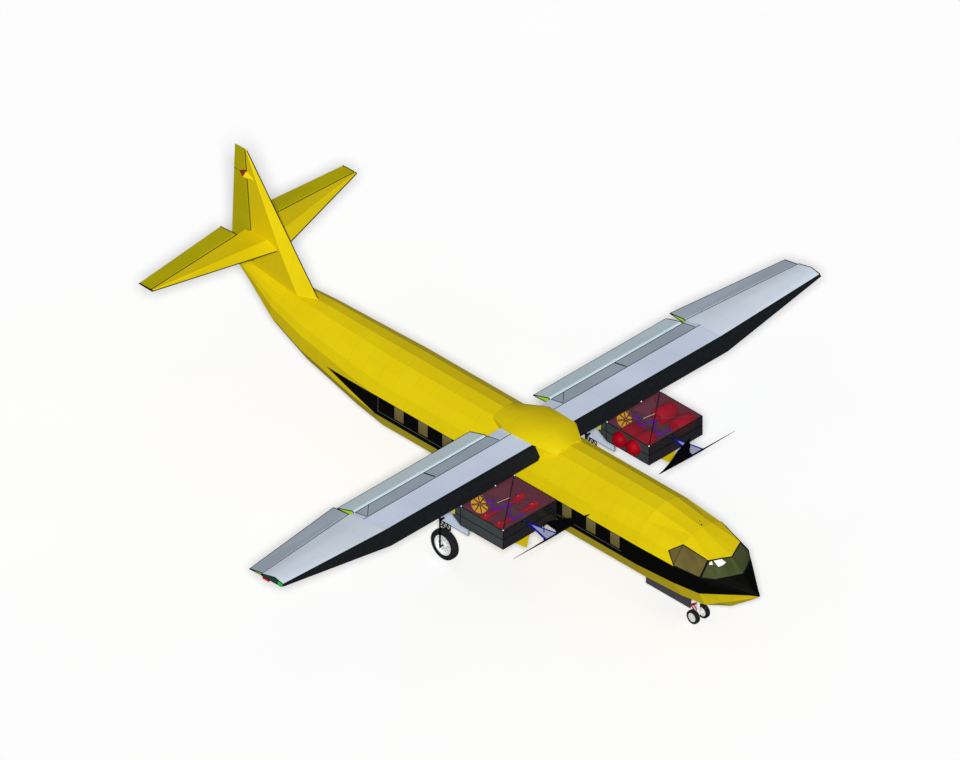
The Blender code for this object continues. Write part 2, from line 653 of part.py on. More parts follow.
# Nacelles: an open tub under the wing, closed by a see-through cover
NACELLE_HALF = 0.875
NACELLE_FRONT = 5.157
NACELLE_REAR = 6.80
NACELLE_FOOT = 2.08
NACELLE_TOP = 2.605
COVER_THICKNESS = 0.015
COVER_END = 6.565
SHEET = 0.02
FIREWALL_FRONT = 6.76
FIREWALL_FOOT = 2.32
TUB_OUTLINE = [(NACELLE_FRONT, NACELLE_FOOT), (NACELLE_FRONT, NACELLE_TOP), (6.5745, NACELLE_TOP),
               (6.58, 2.60 - 2 * GAP), (6.70, 2.567 - 2 * GAP), (NACELLE_REAR, 2.549 - 2 * GAP),
               (NACELLE_REAR, 2.24), (6.55, NACELLE_FOOT)]
KEEL_OUTLINE = [(5.16, NACELLE_FOOT - GAP), (5.26, 1.64), (5.63, 1.59), (6.45, NACELLE_FOOT - GAP)]
KEEL_HALF = 0.008
TUB_INSIDE = [(NACELLE_FRONT + SHEET, NACELLE_FOOT + SHEET), (NACELLE_FRONT + SHEET, 2.9), (6.9, 2.9),
              (6.9, FIREWALL_FOOT), (FIREWALL_FRONT, FIREWALL_FOOT), (6.54, NACELLE_FOOT + SHEET)]
SHAFT_RADIUS = 0.03


def side_prism(bm, low, high, outline):
    """An outline of (station, height) drawn across between two sides."""
    loft(bm, [[place(x, *p) for p in outline] for x in (low, high)])


for label, side in SIDES.items():
    middle = side * ENGINE_SIDE
    low, high = middle - NACELLE_HALF, middle + NACELLE_HALF
    tub = new_object(f"nacelle_{label}", lambda bm: side_prism(bm, low, high, TUB_OUTLINE), "charcoal_paint")
    cut(tub, cutter(f"nacelle_inside_{label}", lambda bm: side_prism(bm, low + SHEET, high - SHEET, TUB_INSIDE)))
    cut(tub, cutter(f"shaft_hole_{label}", lambda bm: rod(
        bm, place(middle, NACELLE_FRONT - 0.1, PROP_HEIGHT), place(middle, NACELLE_FRONT + 0.1, PROP_HEIGHT),
        SHAFT_RADIUS + RUNNING_GAP, 24)))
    new_object(f"nacelle_cover_{label}", lambda bm: box(
        bm, place(low, NACELLE_FRONT, NACELLE_TOP + GAP), place(high, COVER_END, NACELLE_TOP + COVER_THICKNESS)),
        "maroon_cover")
    new_object(f"nacelle_keel_{label}", lambda bm: side_prism(
        bm, middle - KEEL_HALF, middle + KEEL_HALF, KEEL_OUTLINE), "yellow_paint")
    new_object(f"firewall_{label}", lambda bm: box(
        bm, place(low + SHEET + GAP, FIREWALL_FRONT, FIREWALL_FOOT + GAP),
        place(high - SHEET - GAP, NACELLE_REAR, 2.535)), "yellow_paint")

# Engines: flat fours on the thrust line. The left one has its fat cooling jackets on, which bulge through the
# nacelle's walls, the inboard two by far; the right one has bare barrels.
CRANKCASE_HALF = 0.10
CRANKCASE = (5.30, 6.50)    # front and rear stations
CYLINDERS = {
    # side of the crankcase and station of each cylinder
    "left": [(1, 5.48), (1, 6.08), (-1, 5.63), (-1, 6.08)],
    "right": [(1, 5.63), (1, 6.08), (-1, 5.63), (-1, 6.08)],
}
BARREL_RADIUS = 0.045
BARREL_END = {"left": 0.36, "right": 0.72}
JACKET_NECKS = {1: 0.17, -1: 0.20}      # radius where a jacket passes through the wall, by side
JACKETS = {
    # side of the crankcase: distance from the thrust line and radius, along a jacket
    1: [(0.30, 0.15), (0.34, 0.215), (0.74, 0.215), (0.84, JACKET_NECKS[1]), (0.89, JACKET_NECKS[1]), (0.915, 0.11),
        (0.93, 0.04)],
    -1: [(0.34, 0.15), (0.38, 0.215), (0.76, 0.215), (0.84, JACKET_NECKS[-1]), (0.89, JACKET_NECKS[-1]),
         (0.98, 0.175), (1.05, 0.12), (1.08, 0.04)],
}
MOUNT_RADIUS = 0.018


def jacket_ring(side, station, radius, sides=20):
    """A round section of a jacket about its cylinder's axis."""
    turns = [math.tau * number / sides for number in range(sides)]
    return [place(side, station + radius * math.cos(a), PROP_HEIGHT + radius * math.sin(a)) for a in turns]


def engine_makers(label, side):
    """Crankcase, barrels, the left engine's jackets and the four bars that hold it to the firewall."""
    middle = side * ENGINE_SIDE
    makers = [lambda bm: box(bm, place(middle - CRANKCASE_HALF, CRANKCASE[0], PROP_HEIGHT - CRANKCASE_HALF),
                             place(middle + CRANKCASE_HALF, CRANKCASE[1], PROP_HEIGHT + CRANKCASE_HALF))]
    for way, station in CYLINDERS[label]:
        start = place(middle, station, PROP_HEIGHT)
        end = place(middle + way * BARREL_END[label], station, PROP_HEIGHT)
        makers.append(lambda bm, a=start, b=end: rod(bm, a, b, BARREL_RADIUS, 20))
        if label == "left":
            rings = [jacket_ring(middle + way * reach, station, radius) for reach, radius in JACKETS[way]]
            makers.append(lambda bm, r=rings: loft(bm, r))
    for way in (1, -1):
        for lift in (0.01, 0.07):
            start = place(middle + way * 0.07, CRANKCASE[1] - 0.03, PROP_HEIGHT + lift)
            end = place(middle + way * 0.07, FIREWALL_FRONT - GAP, PROP_HEIGHT + lift)
            makers.append(lambda bm, a=start, b=end: rod(bm, a, b, MOUNT_RADIUS, 8))
    return makers


for label, side in SIDES.items():
    union(f"engine_{label}", engine_makers(label, side), "red_paint")
for number, (way, station) in enumerate(CYLINDERS["left"]):
    wall = ENGINE_SIDE + way * NACELLE_HALF
    cut(bpy.data.objects["nacelle_left"], cutter(f"bulge_hole_{number + 1}", lambda bm: loft(bm, [
        jacket_ring(wall + reach, station, JACKET_NECKS[way] + GAP) for reach in (-0.1, 0.1)])))

# Propellers: two blades on a cross bar, carried by a flat triangular frame on the shaft
HUB_HALF = 0.187            # where the blades leave the frame
FRAME_APEX = NACELLE_FRONT - 0.03
BLADE_SECTIONS = [
    # distance from the shaft, chord, thickness
    (HUB_HALF + 0.003, 0.31, 0.040),
    (0.30, 0.31, 0.034),
    (0.49, 0.26, 0.028),
    (0.80, 0.13, 0.020),
    (1.10, 0.045, 0.012),
    (PROP_RADIUS, 0.02, 0.008),
]
BLADE_HEEL = [
    # distance from the shaft, and behind the leading edge
    (HUB_HALF + 0.006, 0.08),
    (0.034, 0.365),
    (0.30, 0.31),
    (0.30, 0.08),
]
HEEL_THICKNESS = 0.02
BLADE_PITCH = math.radians(45)
FRAME_BAR = 0.022
BAR_SIDES = 10              # one of its flats lies on the frame


def blade_ring(centre, way, hand, reach, chord, thick):
    """A flat blade section behind its straight leading edge, turned to its pitch. The two sides are handed."""
    outline = [(-0.06, 0), (0.10, 0.5), (0.75, 0.5), (1.0, 0), (0.75, -0.5), (0.10, -0.5)]
    turn = way * hand
    points = []
    for along, through in outline:
        offset = Vector((0, through * thick, -turn * along * chord))
        offset.rotate(Matrix.Rotation(turn * BLADE_PITCH, 3, "X"))
        points.append(centre + Vector((way * reach, 0, 0)) + offset)
    return points


def blade_heel(centre, way, hand, through):
    """One face of the pointed heel at a blade's root, in the blade's plane."""
    turn = way * hand
    points = []
    for reach, behind in BLADE_HEEL:
        offset = Vector((0, through, -turn * behind))
        offset.rotate(Matrix.Rotation(turn * BLADE_PITCH, 3, "X"))
        points.append(centre + Vector((way * reach, 0, 0)) + offset)
    return points


for label, side in SIDES.items():
    hub = place(side * ENGINE_SIDE, PROP_STATION, PROP_HEIGHT)
    cross = Vector((HUB_HALF + 0.03, 0, 0))
    makers = [lambda bm: rod(bm, hub - cross, hub + cross, FRAME_BAR, BAR_SIDES)]
    for way in (1, -1):
        rings = [blade_ring(hub, way, side, *row) for row in BLADE_SECTIONS]
        makers.append(lambda bm, r=rings: loft(bm, r))
        heel = [blade_heel(hub, way, side, through) for through in (-HEEL_THICKNESS / 2, HEEL_THICKNESS / 2)]
        makers.append(lambda bm, r=heel: loft(bm, r))
    union(f"propeller_{label}", makers, "black_paint", origin=hub)
    apex = place(side * ENGINE_SIDE, FRAME_APEX, PROP_HEIGHT)
    seat_line = hub + Vector((0, FRAME_BAR * math.cos(math.pi / BAR_SIDES) + GAP, 0))
    frame_makers = [lambda bm: rod(bm, apex - Vector((0, 0.03, 0)), place(
        side * ENGINE_SIDE, CRANKCASE[0] - GAP, PROP_HEIGHT), SHAFT_RADIUS, 16)]
    web = [(-HUB_HALF, seat_line.y), (HUB_HALF, seat_line.y), (0.02, apex.y), (-0.02, apex.y)]
    frame_makers.append(lambda bm: loft(bm, [[Vector((hub.x + x, y, hub.z + z)) for x, y in web]
                                             for z in (-0.006, 0.006)]))
    for way in (1, -1):
        outer = [(way * (HUB_HALF - 0.035), seat_line.y), (way * HUB_HALF, seat_line.y),
                 (way * 0.02, apex.y), (0, apex.y)]
        frame_makers.append(lambda bm, o=outer: loft(bm, [[Vector((hub.x + x, y, hub.z + z)) for x, y in o]
                                                          for z in (-0.02, 0.02)]))
    union(f"propeller_frame_{label}", frame_makers, "blue_paint", origin=hub)

# Main landing gear: a slab fairing under each engine, a leg on the right of the wheel and its truss brace
GEAR_FAIRING_HALF = 0.025
GEAR_FAIRING = [(7.165, 1.04), (7.12, 1.30), (7.02, 2.559 - GAP), (7.86, 2.6535 - GAP), (8.12, 2.36), (8.12, 1.04)]
LEG_OFFSET = -0.16          # from the wheel's middle, the same way on both sides
LEG_RADIUS = 0.022
AXLE_RADIUS = 0.020
AXLE_GAP = 0.0005
TRUSS = (7.60, 1.03, 1.17)  # station of its front end, heights of its two chords
TRUSS_PANELS = 3
TRUSS_RADIUS = 0.012


def gear_fairing(bm, middle):
    """The flat slab that carries a main leg."""
    side_prism(bm, middle - GEAR_FAIRING_HALF, middle + GEAR_FAIRING_HALF, GEAR_FAIRING)


def leg_makers(side):
    """Leg, axle stub and a small truss beside the fairing's foot."""
    middle = side * ENGINE_SIDE
    x = middle + LEG_OFFSET
    foot = GEAR_FAIRING[0][1]
    makers = [lambda bm: rod(bm, place(x, MAIN_STATION, MAIN_RADIUS - 0.03), place(x, MAIN_STATION, foot + 0.20),
                             LEG_RADIUS, 12),
              lambda bm: rod(bm, place(x, MAIN_STATION, MAIN_RADIUS),
                             place(middle + MAIN_WIDTH / 2 + 0.01, MAIN_STATION, MAIN_RADIUS),
                             AXLE_RADIUS, 16)]
    near = middle - GEAR_FAIRING_HALF - GAP
    makers.append(lambda bm: box(bm, place(near, MAIN_STATION - 0.018, foot + 0.10),
                                 place(x - 0.018, MAIN_STATION + 0.018, foot + 0.14)))
    front, low, high = TRUSS
    step = (MAIN_STATION - front) / TRUSS_PANELS
    bars = [((MAIN_STATION, low), (front, low)), ((MAIN_STATION, high), (front, high))]
    for number in range(TRUSS_PANELS):
        bars.append(((MAIN_STATION - number * step, high), (MAIN_STATION - (number + 1) * step, low)))
        bars.append(((MAIN_STATION - (number + 1) * step, low), (MAIN_STATION - (number + 1) * step, high)))
    for start, end in bars:
        makers.append(lambda bm, a=place(x, *start), b=place(x, *end): rod(bm, a, b, TRUSS_RADIUS, 6))
    return makers


for label, side in SIDES.items():
    middle = side * ENGINE_SIDE
    new_object(f"gear_fairing_{label}", lambda bm: gear_fairing(bm, middle), "pale_blue_paint")
    union(f"main_leg_{label}", leg_makers(side), "black_paint")

RIM_RADIUS = 0.265
TYRE_PROFILE = [(RIM_RADIUS, 0.075), (0.30, 0.09), (0.37, 0.09), (0.393, 0.07), (MAIN_RADIUS, 0.045),
                (MAIN_RADIUS, -0.045), (0.393, -0.07), (0.37, -0.09), (0.30, -0.09), (RIM_RADIUS, -0.075)]
RIM_PROFILE = [(0.23, -0.07), (0.20, -0.03), (0.07, -0.03), (0.06, -0.06), (AXLE_RADIUS + AXLE_GAP, -0.06),
               (AXLE_RADIUS + AXLE_GAP, 0.06), (0.06, 0.06), (0.07, 0.03), (0.20, 0.03), (0.23, 0.07),
               (RIM_RADIUS - GAP, 0.075), (RIM_RADIUS - GAP, -0.075)]


for label, side in SIDES.items():
    hub = place(side * ENGINE_SIDE, MAIN_STATION, MAIN_RADIUS)
    turned(f"main_tyre_{label}", TYRE_PROFILE, hub, "tyre_rubber", 32)
    turned(f"main_rim_{label}", RIM_PROFILE, hub, "white_paint", 32)

# Nose landing gear: a fixed leg in an open bay, a steered fork and twin wheels on one turning axle
BAY_HALF = 0.28
BAY_ROOF = 1.08
BAY = (1.80, 3.48)          # front and rear stations
FORK_TOP = 0.56
FORK_RADIUS = 0.04
NOSE_LEG_RADIUS = 0.055
NOSE_AXLE_RADIUS = 0.02
DOOR_THICKNESS = 0.018
DOOR_OUTLINE = [(1.95, 0.92), (2.0, 0.48), (3.46, 0.48), (3.44, 0.92)]

cut(nose, cutter("nose_gear_bay", lambda bm: box(bm, place(-BAY_HALF, BAY[0], 0.5), place(BAY_HALF, BAY[1], BAY_ROOF))))
new_object("nose_leg", lambda bm: rod(bm, place(0, NOSE_WHEEL_STATION, FORK_TOP),
                                      place(0, NOSE_WHEEL_STATION, BAY_ROOF - GAP), NOSE_LEG_RADIUS, 20),
           "white_paint")
nose_hub = place(0, NOSE_WHEEL_STATION, NOSE_WHEEL_RADIUS)
fork = union("nose_fork", [
    lambda bm: rod(bm, place(0, NOSE_WHEEL_STATION, NOSE_WHEEL_RADIUS - 0.02),
                   place(0, NOSE_WHEEL_STATION, FORK_TOP - 2 * GAP), FORK_RADIUS, 20),
    lambda bm: rod(bm, place(-0.06, NOSE_WHEEL_STATION, NOSE_WHEEL_RADIUS),
                   place(0.06, NOSE_WHEEL_STATION, NOSE_WHEEL_RADIUS), FORK_RADIUS, 20)],
    "white_paint", origin=place(0, NOSE_WHEEL_STATION, FORK_TOP))
cut(fork, cutter("nose_axle_bore", lambda bm: rod(
    bm, nose_hub - Vector((0.2, 0, 0)), nose_hub + Vector((0.2, 0, 0)), NOSE_AXLE_RADIUS + AXLE_GAP, 24)))

NOSE_RIM_RADIUS = 0.115
NOSE_TYRE_PROFILE = [(NOSE_RIM_RADIUS, 0.05), (0.135, 0.062), (0.162, 0.062), (NOSE_WHEEL_RADIUS, 0.04),
                     (NOSE_WHEEL_RADIUS, -0.04), (0.162, -0.062), (0.135, -0.062), (NOSE_RIM_RADIUS, -0.05)]


def nose_rims(bm):
    """The axle with both wheels' rims on it."""
    rod(bm, nose_hub - Vector((NOSE_WHEEL_SIDE + 0.05, 0, 0)), nose_hub + Vector((NOSE_WHEEL_SIDE + 0.05, 0, 0)),
        NOSE_AXLE_RADIUS, 24)


def rim_disc(bm, side):
    """The rim of one nose wheel."""
    centre = nose_hub + Vector((side * NOSE_WHEEL_SIDE, 0, 0))
    rod(bm, centre - Vector((0.05, 0, 0)), centre + Vector((0.05, 0, 0)), NOSE_RIM_RADIUS - GAP, 32)


union("nose_axle", [nose_rims, lambda bm: rim_disc(bm, 1), lambda bm: rim_disc(bm, -1)], "white_paint",
      origin=nose_hub)
for label, side in SIDES.items():
    turned(f"nose_tyre_{label}", NOSE_TYRE_PROFILE, nose_hub + Vector((side * NOSE_WHEEL_SIDE, 0, 0)),
           "tyre_rubber", 32)
    outer = side * (BAY_HALF - GAP)
    new_object(f"nose_door_{label}", lambda bm: side_prism(
        bm, outer, outer - side * DOOR_THICKNESS, DOOR_OUTLINE), "charcoal_paint")
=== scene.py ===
"""A nineteen-seat high-wing regional airliner with two piston engines, parked on its wheels.

+X is the aircraft's left side, +Y is aft and +Z is up, in metres.
"""
import math

import bmesh
import bpy
from mathutils import Matrix, Vector
from mathutils.bvhtree import BVHTree


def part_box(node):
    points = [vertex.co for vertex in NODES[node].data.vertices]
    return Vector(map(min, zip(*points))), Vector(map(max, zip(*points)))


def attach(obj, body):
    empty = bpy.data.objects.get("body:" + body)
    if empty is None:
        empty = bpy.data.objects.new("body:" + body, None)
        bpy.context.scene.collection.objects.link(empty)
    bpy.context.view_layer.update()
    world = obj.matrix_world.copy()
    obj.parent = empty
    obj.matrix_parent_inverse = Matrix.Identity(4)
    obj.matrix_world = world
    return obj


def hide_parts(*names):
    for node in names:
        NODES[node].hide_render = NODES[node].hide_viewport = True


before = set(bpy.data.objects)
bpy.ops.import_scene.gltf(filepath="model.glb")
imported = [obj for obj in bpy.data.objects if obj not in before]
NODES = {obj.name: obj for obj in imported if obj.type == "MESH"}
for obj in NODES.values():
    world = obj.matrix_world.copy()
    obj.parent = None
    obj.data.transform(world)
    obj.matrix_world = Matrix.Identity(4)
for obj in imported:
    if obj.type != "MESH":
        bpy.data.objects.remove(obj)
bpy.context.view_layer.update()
SIDES = {"left": 1, "right": -1}

# Fuselage nose
# A stressed-skin shell of flat aluminium panels, painted yellow with a black mask that runs from the chine
# up to the windscreen. The panels are riveted to frames half a metre apart.
NOSE_TIP = -8.68            # where the stations start


def at(side, station, height):
    """A point of the aircraft from its distance off centre, its station and its height."""
    return Vector((side, NOSE_TIP + station, height))


def linear(code):
    """Linear RGBA of an sRGB hex colour."""
    channels = [int(code[i:i + 2], 16) / 255 for i in (1, 3, 5)]
    return [c / 12.92 if c <= 0.04045 else ((c + 0.055) / 1.055) ** 2.4 for c in channels] + [1.0]


def add(tree, kind, settings=None, links=None):
    """Adds a node, sets its properties and sockets, and links its inputs."""
    node = tree.nodes.new(kind)
    for key, value in (settings or {}).items():
        if isinstance(key, int) or key in node.inputs:
            node.inputs[key].default_value = value
        else:
            setattr(node, key, value)
    for key, socket in (links or {}).items():
        tree.links.new(socket, node.inputs[key])
    return node


def new_finish(name, **shader_settings):
    """An empty finish: its material, its tree, its shader and the object's own coordinates."""
    material = bpy.data.materials.new(name)
    material.use_nodes = True
    tree = material.node_tree
    shader = tree.nodes["Principled BSDF"]
    for key, value in shader_settings.items():
        shader.inputs[key.replace("_", " ")].default_value = value
    place = add(tree, "ShaderNodeTexCoord").outputs["Object"]
    return material, tree, shader, place


TONE_SPREAD = (0.35, 0.65)  # where the drift reaches its deep and its pale tone


def mottle(tree, place, pale, deep, patch):
    """Drifts between two tones of one colour over patches of the given size in metres."""
    noise = add(tree, "ShaderNodeTexNoise", {"Scale": 1 / patch, "Detail": 3.0}, {"Vector": place})
    ramp = add(tree, "ShaderNodeValToRGB", links={"Fac": noise.outputs["Fac"]})
    for element, position, tone in zip(ramp.color_ramp.elements, TONE_SPREAD, (deep, pale)):
        element.position = position
        element.color = linear(tone)
    return ramp.outputs["Color"]


def joint_lines(tree, place, pitches, width):
    """A mask of thin lines across the given axes, one for each pitch in metres."""
    axes = add(tree, "ShaderNodeSeparateXYZ", links={"Vector": place})
    mask = None
    for axis, pitch in pitches.items():
        saw = add(tree, "ShaderNodeMath", {"operation": "PINGPONG", 1: pitch / 2}, {0: axes.outputs[axis]})
        line = add(tree, "ShaderNodeMath", {"operation": "LESS_THAN", 1: width / 2}, {0: saw.outputs[0]})
        mask = line.outputs[0] if mask is None else add(
            tree, "ShaderNodeMath", {"operation": "MAXIMUM"}, {0: mask, 1: line.outputs[0]}).outputs[0]
    return mask


ENAMEL_PATCH = 1.6          # metres over which the enamel's tone drifts
JOINT_WIDTH = 0.004
JOINT_SHADE = "#dcdcdc"
PEEL_RIPPLE = 0.03


def skin_paint(name, pale, deep, pitches, roughness=0.5, gloss=0.12):
    """Sprayed enamel on riveted sheet. It is even and faintly mottled, with sealed butt joints 4 mm wide and
    orange peel, whose 5 mm ripples are drawn at 30 mm to show."""
    material, tree, shader, place = new_finish(name, Specular_IOR_Level=gloss)
    tone = mottle(tree, place, pale, deep, ENAMEL_PATCH)
    lines = joint_lines(tree, place, pitches, JOINT_WIDTH)
    shade = add(tree, "ShaderNodeMix",
                {"data_type": "RGBA", "blend_type": "MULTIPLY", 7: linear(JOINT_SHADE)}, {0: lines, 6: tone})
    peel = add(tree, "ShaderNodeTexNoise", {"Scale": 1 / PEEL_RIPPLE, "Detail": 2.0}, {"Vector": place})
    rough = add(tree, "ShaderNodeMapRange", {"To Min": roughness - 0.05, "To Max": roughness + 0.07},
                {"Value": peel.outputs["Fac"]})
    relief = add(tree, "ShaderNodeMath", {"operation": "SUBTRACT"}, {0: peel.outputs["Fac"], 1: lines})
    bump = add(tree, "ShaderNodeBump", {"Strength": 0.1, "Distance": 0.002}, {"Height": relief.outputs[0]})
    tree.links.new(shade.outputs[2], shader.inputs["Base Color"])
    tree.links.new(rough.outputs[0], shader.inputs["Roughness"])
    tree.links.new(bump.outputs[0], shader.inputs["Normal"])
    return material


BODY_FRAMES = {"Y": 0.508}  # axis across the joints and their pitch
yellow_enamel = skin_paint("yellow_enamel_on_sheet", "#e9d10a", "#e2c906", BODY_FRAMES)
black_enamel = skin_paint("black_enamel_on_sheet", "#060605", "#040403", BODY_FRAMES,
                          roughness=0.6, gloss=0.05)


LINING_GRAIN = 0.012


def lining_board(name, pale, deep):
    """Moulded phenolic lining with a fine leather-like grain of about 3 mm, drawn at 12 mm to show."""
    material, tree, shader, place = new_finish(name, Roughness=0.7)
    grain = add(tree, "ShaderNodeTexVoronoi", {"Scale": 1 / LINING_GRAIN}, {"Vector": place})
    bump = add(tree, "ShaderNodeBump", {"Strength": 0.2, "Distance": 0.001},
               {"Height": grain.outputs["Distance"]})
    tree.links.new(mottle(tree, place, pale, deep, patch=0.3), shader.inputs["Base Color"])
    tree.links.new(bump.outputs[0], shader.inputs["Normal"])
    return material


cockpit_lining = lining_board("cockpit_lining_board", "#8a8574", "#7c7767")


WELD = 0.0001               # metres within which corners are merged and places count as the same
FLAT_ANGLE = 0.002          # radians between the parts of one flat face


def node_copy(name):
    """A merged copy of a CAD node's mesh with its flat faces whole again."""
    bm = bmesh.new()
    bm.from_mesh(NODES[name].data)
    bmesh.ops.remove_doubles(bm, verts=bm.verts, dist=WELD)
    bmesh.ops.dissolve_limit(bm, angle_limit=FLAT_ANGLE, verts=bm.verts, edges=bm.edges)
    return bm


def piece(name, bm, finishes, body="airframe", stands_for=()):
    """Makes an object of a bmesh, rides it on its body and hides the CAD nodes that it stands for."""
    mesh = bpy.data.meshes.new(name)
    bm.to_mesh(mesh)
    bm.free()
    obj = bpy.data.objects.new(name, mesh)
    bpy.context.scene.collection.objects.link(obj)
    for finish in finishes:
        mesh.materials.append(finish)
    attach(obj, body)
    if stands_for:
        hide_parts(*stands_for)


def between(table, station):
    """A value read along a table of (station, value) rows."""
    for (near, low), (far, high) in zip(table, table[1:]):
        if station <= far:
            return low + (high - low) * (station - near) / (far - near)
    return table[-1][1]


# Foot and top of the black mask, as rows of station and height
CHINE = [(0, 1.685), (0.20, 1.685), (0.84, 1.625), (1.20, 1.555), (1.88, 1.585), (3.05, 1.567), (3.6, 1.567)]
SILL = [(0, 3.0), (1.20, 3.0), (1.201, 2.04), (1.88, 2.10), (3.05, 2.103), (3.6, 2.103)]
YELLOW, BLACK, LINING = range(3)
BODY_AXIS = 1.80            # height that the shell's inner faces look towards
BAY_SIDE = 0.281
BAY_TOP = 1.085
BAY_STATIONS = (1.79, 3.49)
COCKPIT_STATIONS = (0.55, 2.9)
NOSE_END = 3.55
JOINT_DEPTH = 0.01          # how near a joint a face is taken for its ring
SQUARE = 0.99               # least share of a face's normal along an axis that it is square to


def nose_colour(face):
    """Black between the chine and the sill and on the rear joint, lining inside, yellow elsewhere."""
    centre = face.calc_center_median()
    station = centre.y - NOSE_TIP
    outward = Vector((centre.x, 0, centre.z - BODY_AXIS))
    inside = face.normal.dot(outward) < -0.05 and COCKPIT_STATIONS[0] < station < COCKPIT_STATIONS[1]
    across = max(abs(part) for part in face.normal) > SQUARE
    in_bay = (across and abs(centre.x) < BAY_SIDE and centre.z < BAY_TOP
              and BAY_STATIONS[0] < station < BAY_STATIONS[1])
    if inside or in_bay:
        return LINING
    banded = between(CHINE, station) < centre.z < between(SILL, station)
    return BLACK if banded or station > NOSE_END - JOINT_DEPTH else YELLOW


nose = node_copy("nose_section")
for face in nose.faces:
    face.material_index = nose_colour(face)
piece("nose_skin", nose, [yellow_enamel, black_enamel, cockpit_lining],
      stands_for=["nose_section"])

# Aerial feed-throughs
# Two small tapered insulators of moulded phenolic, set half their length into the crown over the cockpit and
# painted black.
INSULATORS = [
    # side, station and height on the crown, radius at the foot, rise
    (0.054, 1.962, 2.708, 0.024, 0.03),
    (0.127, 2.094, 2.716, 0.013, 0.02),
]
insulators = bmesh.new()
for side, station, height, radius, rise in INSULATORS:
    bmesh.ops.create_cone(insulators, cap_ends=True, segments=16, radius1=radius, radius2=radius / 2,
                          depth=2 * rise, matrix=Matrix.Translation(at(side, station, height)))
piece("aerial_insulators", insulators, [black_enamel])

# Cockpit windows
# Stretched acrylic panes bonded into rubber gaskets that cover their frames. The acrylic is smoked against
# glare, so the seats behind it show only as dark shapes.


def smoked_acrylic(name, pale, deep, alpha):
    """Cast acrylic: smooth, faintly streaked by wiping, see-through."""
    material, tree, shader, place = new_finish(name, Roughness=0.12, IOR=1.49, Alpha=alpha)
    stretch = add(tree, "ShaderNodeMapping", {"Scale": (6.0, 2.0, 1.0)}, {"Vector": place})
    tree.links.new(mottle(tree, stretch.outputs[0], pale, deep, patch=1.0), shader.inputs["Base Color"])
    return material


windscreen_acrylic = smoked_acrylic("olive_windscreen_acrylic", "#5a6338", "#4a5428", alpha=0.62)
side_acrylic = smoked_acrylic("brown_side_window_acrylic", "#7f7338", "#6c6034", alpha=0.72)


def black_rubber(name, pale, deep):
    """Extruded or moulded neoprene: dull, with a trace of dust."""
    material, tree, shader, place = new_finish(name, Roughness=0.82, Specular_IOR_Level=0.2)
    tree.links.new(mottle(tree, place, pale, deep, patch=0.08), shader.inputs["Base Color"])
    return material


seal_rubber = black_rubber("seal_neoprene", "#08080a", "#040405")


def sharp_edges(node, least_angle, wanted=lambda middle, run: True):
    """Ends of a node's edges sharper than the angle in degrees, where their middle and run pass the test."""
    bm = node_copy(node)
    ends = []
    for edge in bm.edges:
        if len(edge.link_faces) == 2 and edge.calc_face_angle(0) > math.radians(least_angle):
            start, end = (vert.co.copy() for vert in edge.verts)
            if wanted((start + end) / 2, end - start):
                ends.append((start, end))
    bm.free()
    return ends


def bar(bm, start, end, radius, sides=6):
    """A round bar between two points."""
    turn = (end - start).to_track_quat("Z", "Y").to_matrix().to_4x4()
    bmesh.ops.create_cone(bm, cap_ends=True, segments=sides, radius1=radius, radius2=radius,
                          depth=(end - start).length, matrix=Matrix.Translation((start + end) / 2) @ turn)


def beads(name, ends, radius, finish=seal_rubber, body="airframe"):
    """Thin beads laid along edges."""
    bm = bmesh.new()
    for start, end in ends:
        bar(bm, start, end, radius)
    piece(name, bm, [finish], body)


def along(points, side=1):
    """Pairs of ends for a bead that passes through points given as side, station and height."""
    line = [at(side * x, station, height) for x, station, height in points]
    return list(zip(line, line[1:]))


def dress(finish, *nodes):
    """Gives CAD nodes whose shape is right their finish."""
    for node in nodes:
        for slot in NODES[node].material_slots:
            slot.material = finish


FRAME_HALF = 0.011          # half of the painted frame between a pane and the skin
GASKET_RADIUS = 0.0125
CORNER_ANGLE = 50           # degrees from which an edge counts as a corner
dress(windscreen_acrylic, "windscreen")
dress(side_acrylic, "side_window_left", "side_window_right")
for pane in ("windscreen", "side_window_left", "side_window_right"):
    low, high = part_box(pane)
    centre = (Vector(low) + Vector(high)) / 2
    rim = []
    for start, end in sharp_edges(pane, CORNER_ANGLE):
        away = ((start + end) / 2 - centre).normalized() * FRAME_HALF
        rim.append((start + away, end + away))
    beads(f"gasket_{pane}", rim, GASKET_RADIUS)

# The side window's two panes meet in a thin rubber strip
PANE_STRIP = [(0.635, 1.88, 2.530), (0.818, 1.88, 2.300), (0.945, 1.88, 2.105)]
STRIP_RADIUS = 0.007
for label, side in SIDES.items():
    beads(f"pane_strip_{label}", along(PANE_STRIP, side), STRIP_RADIUS)

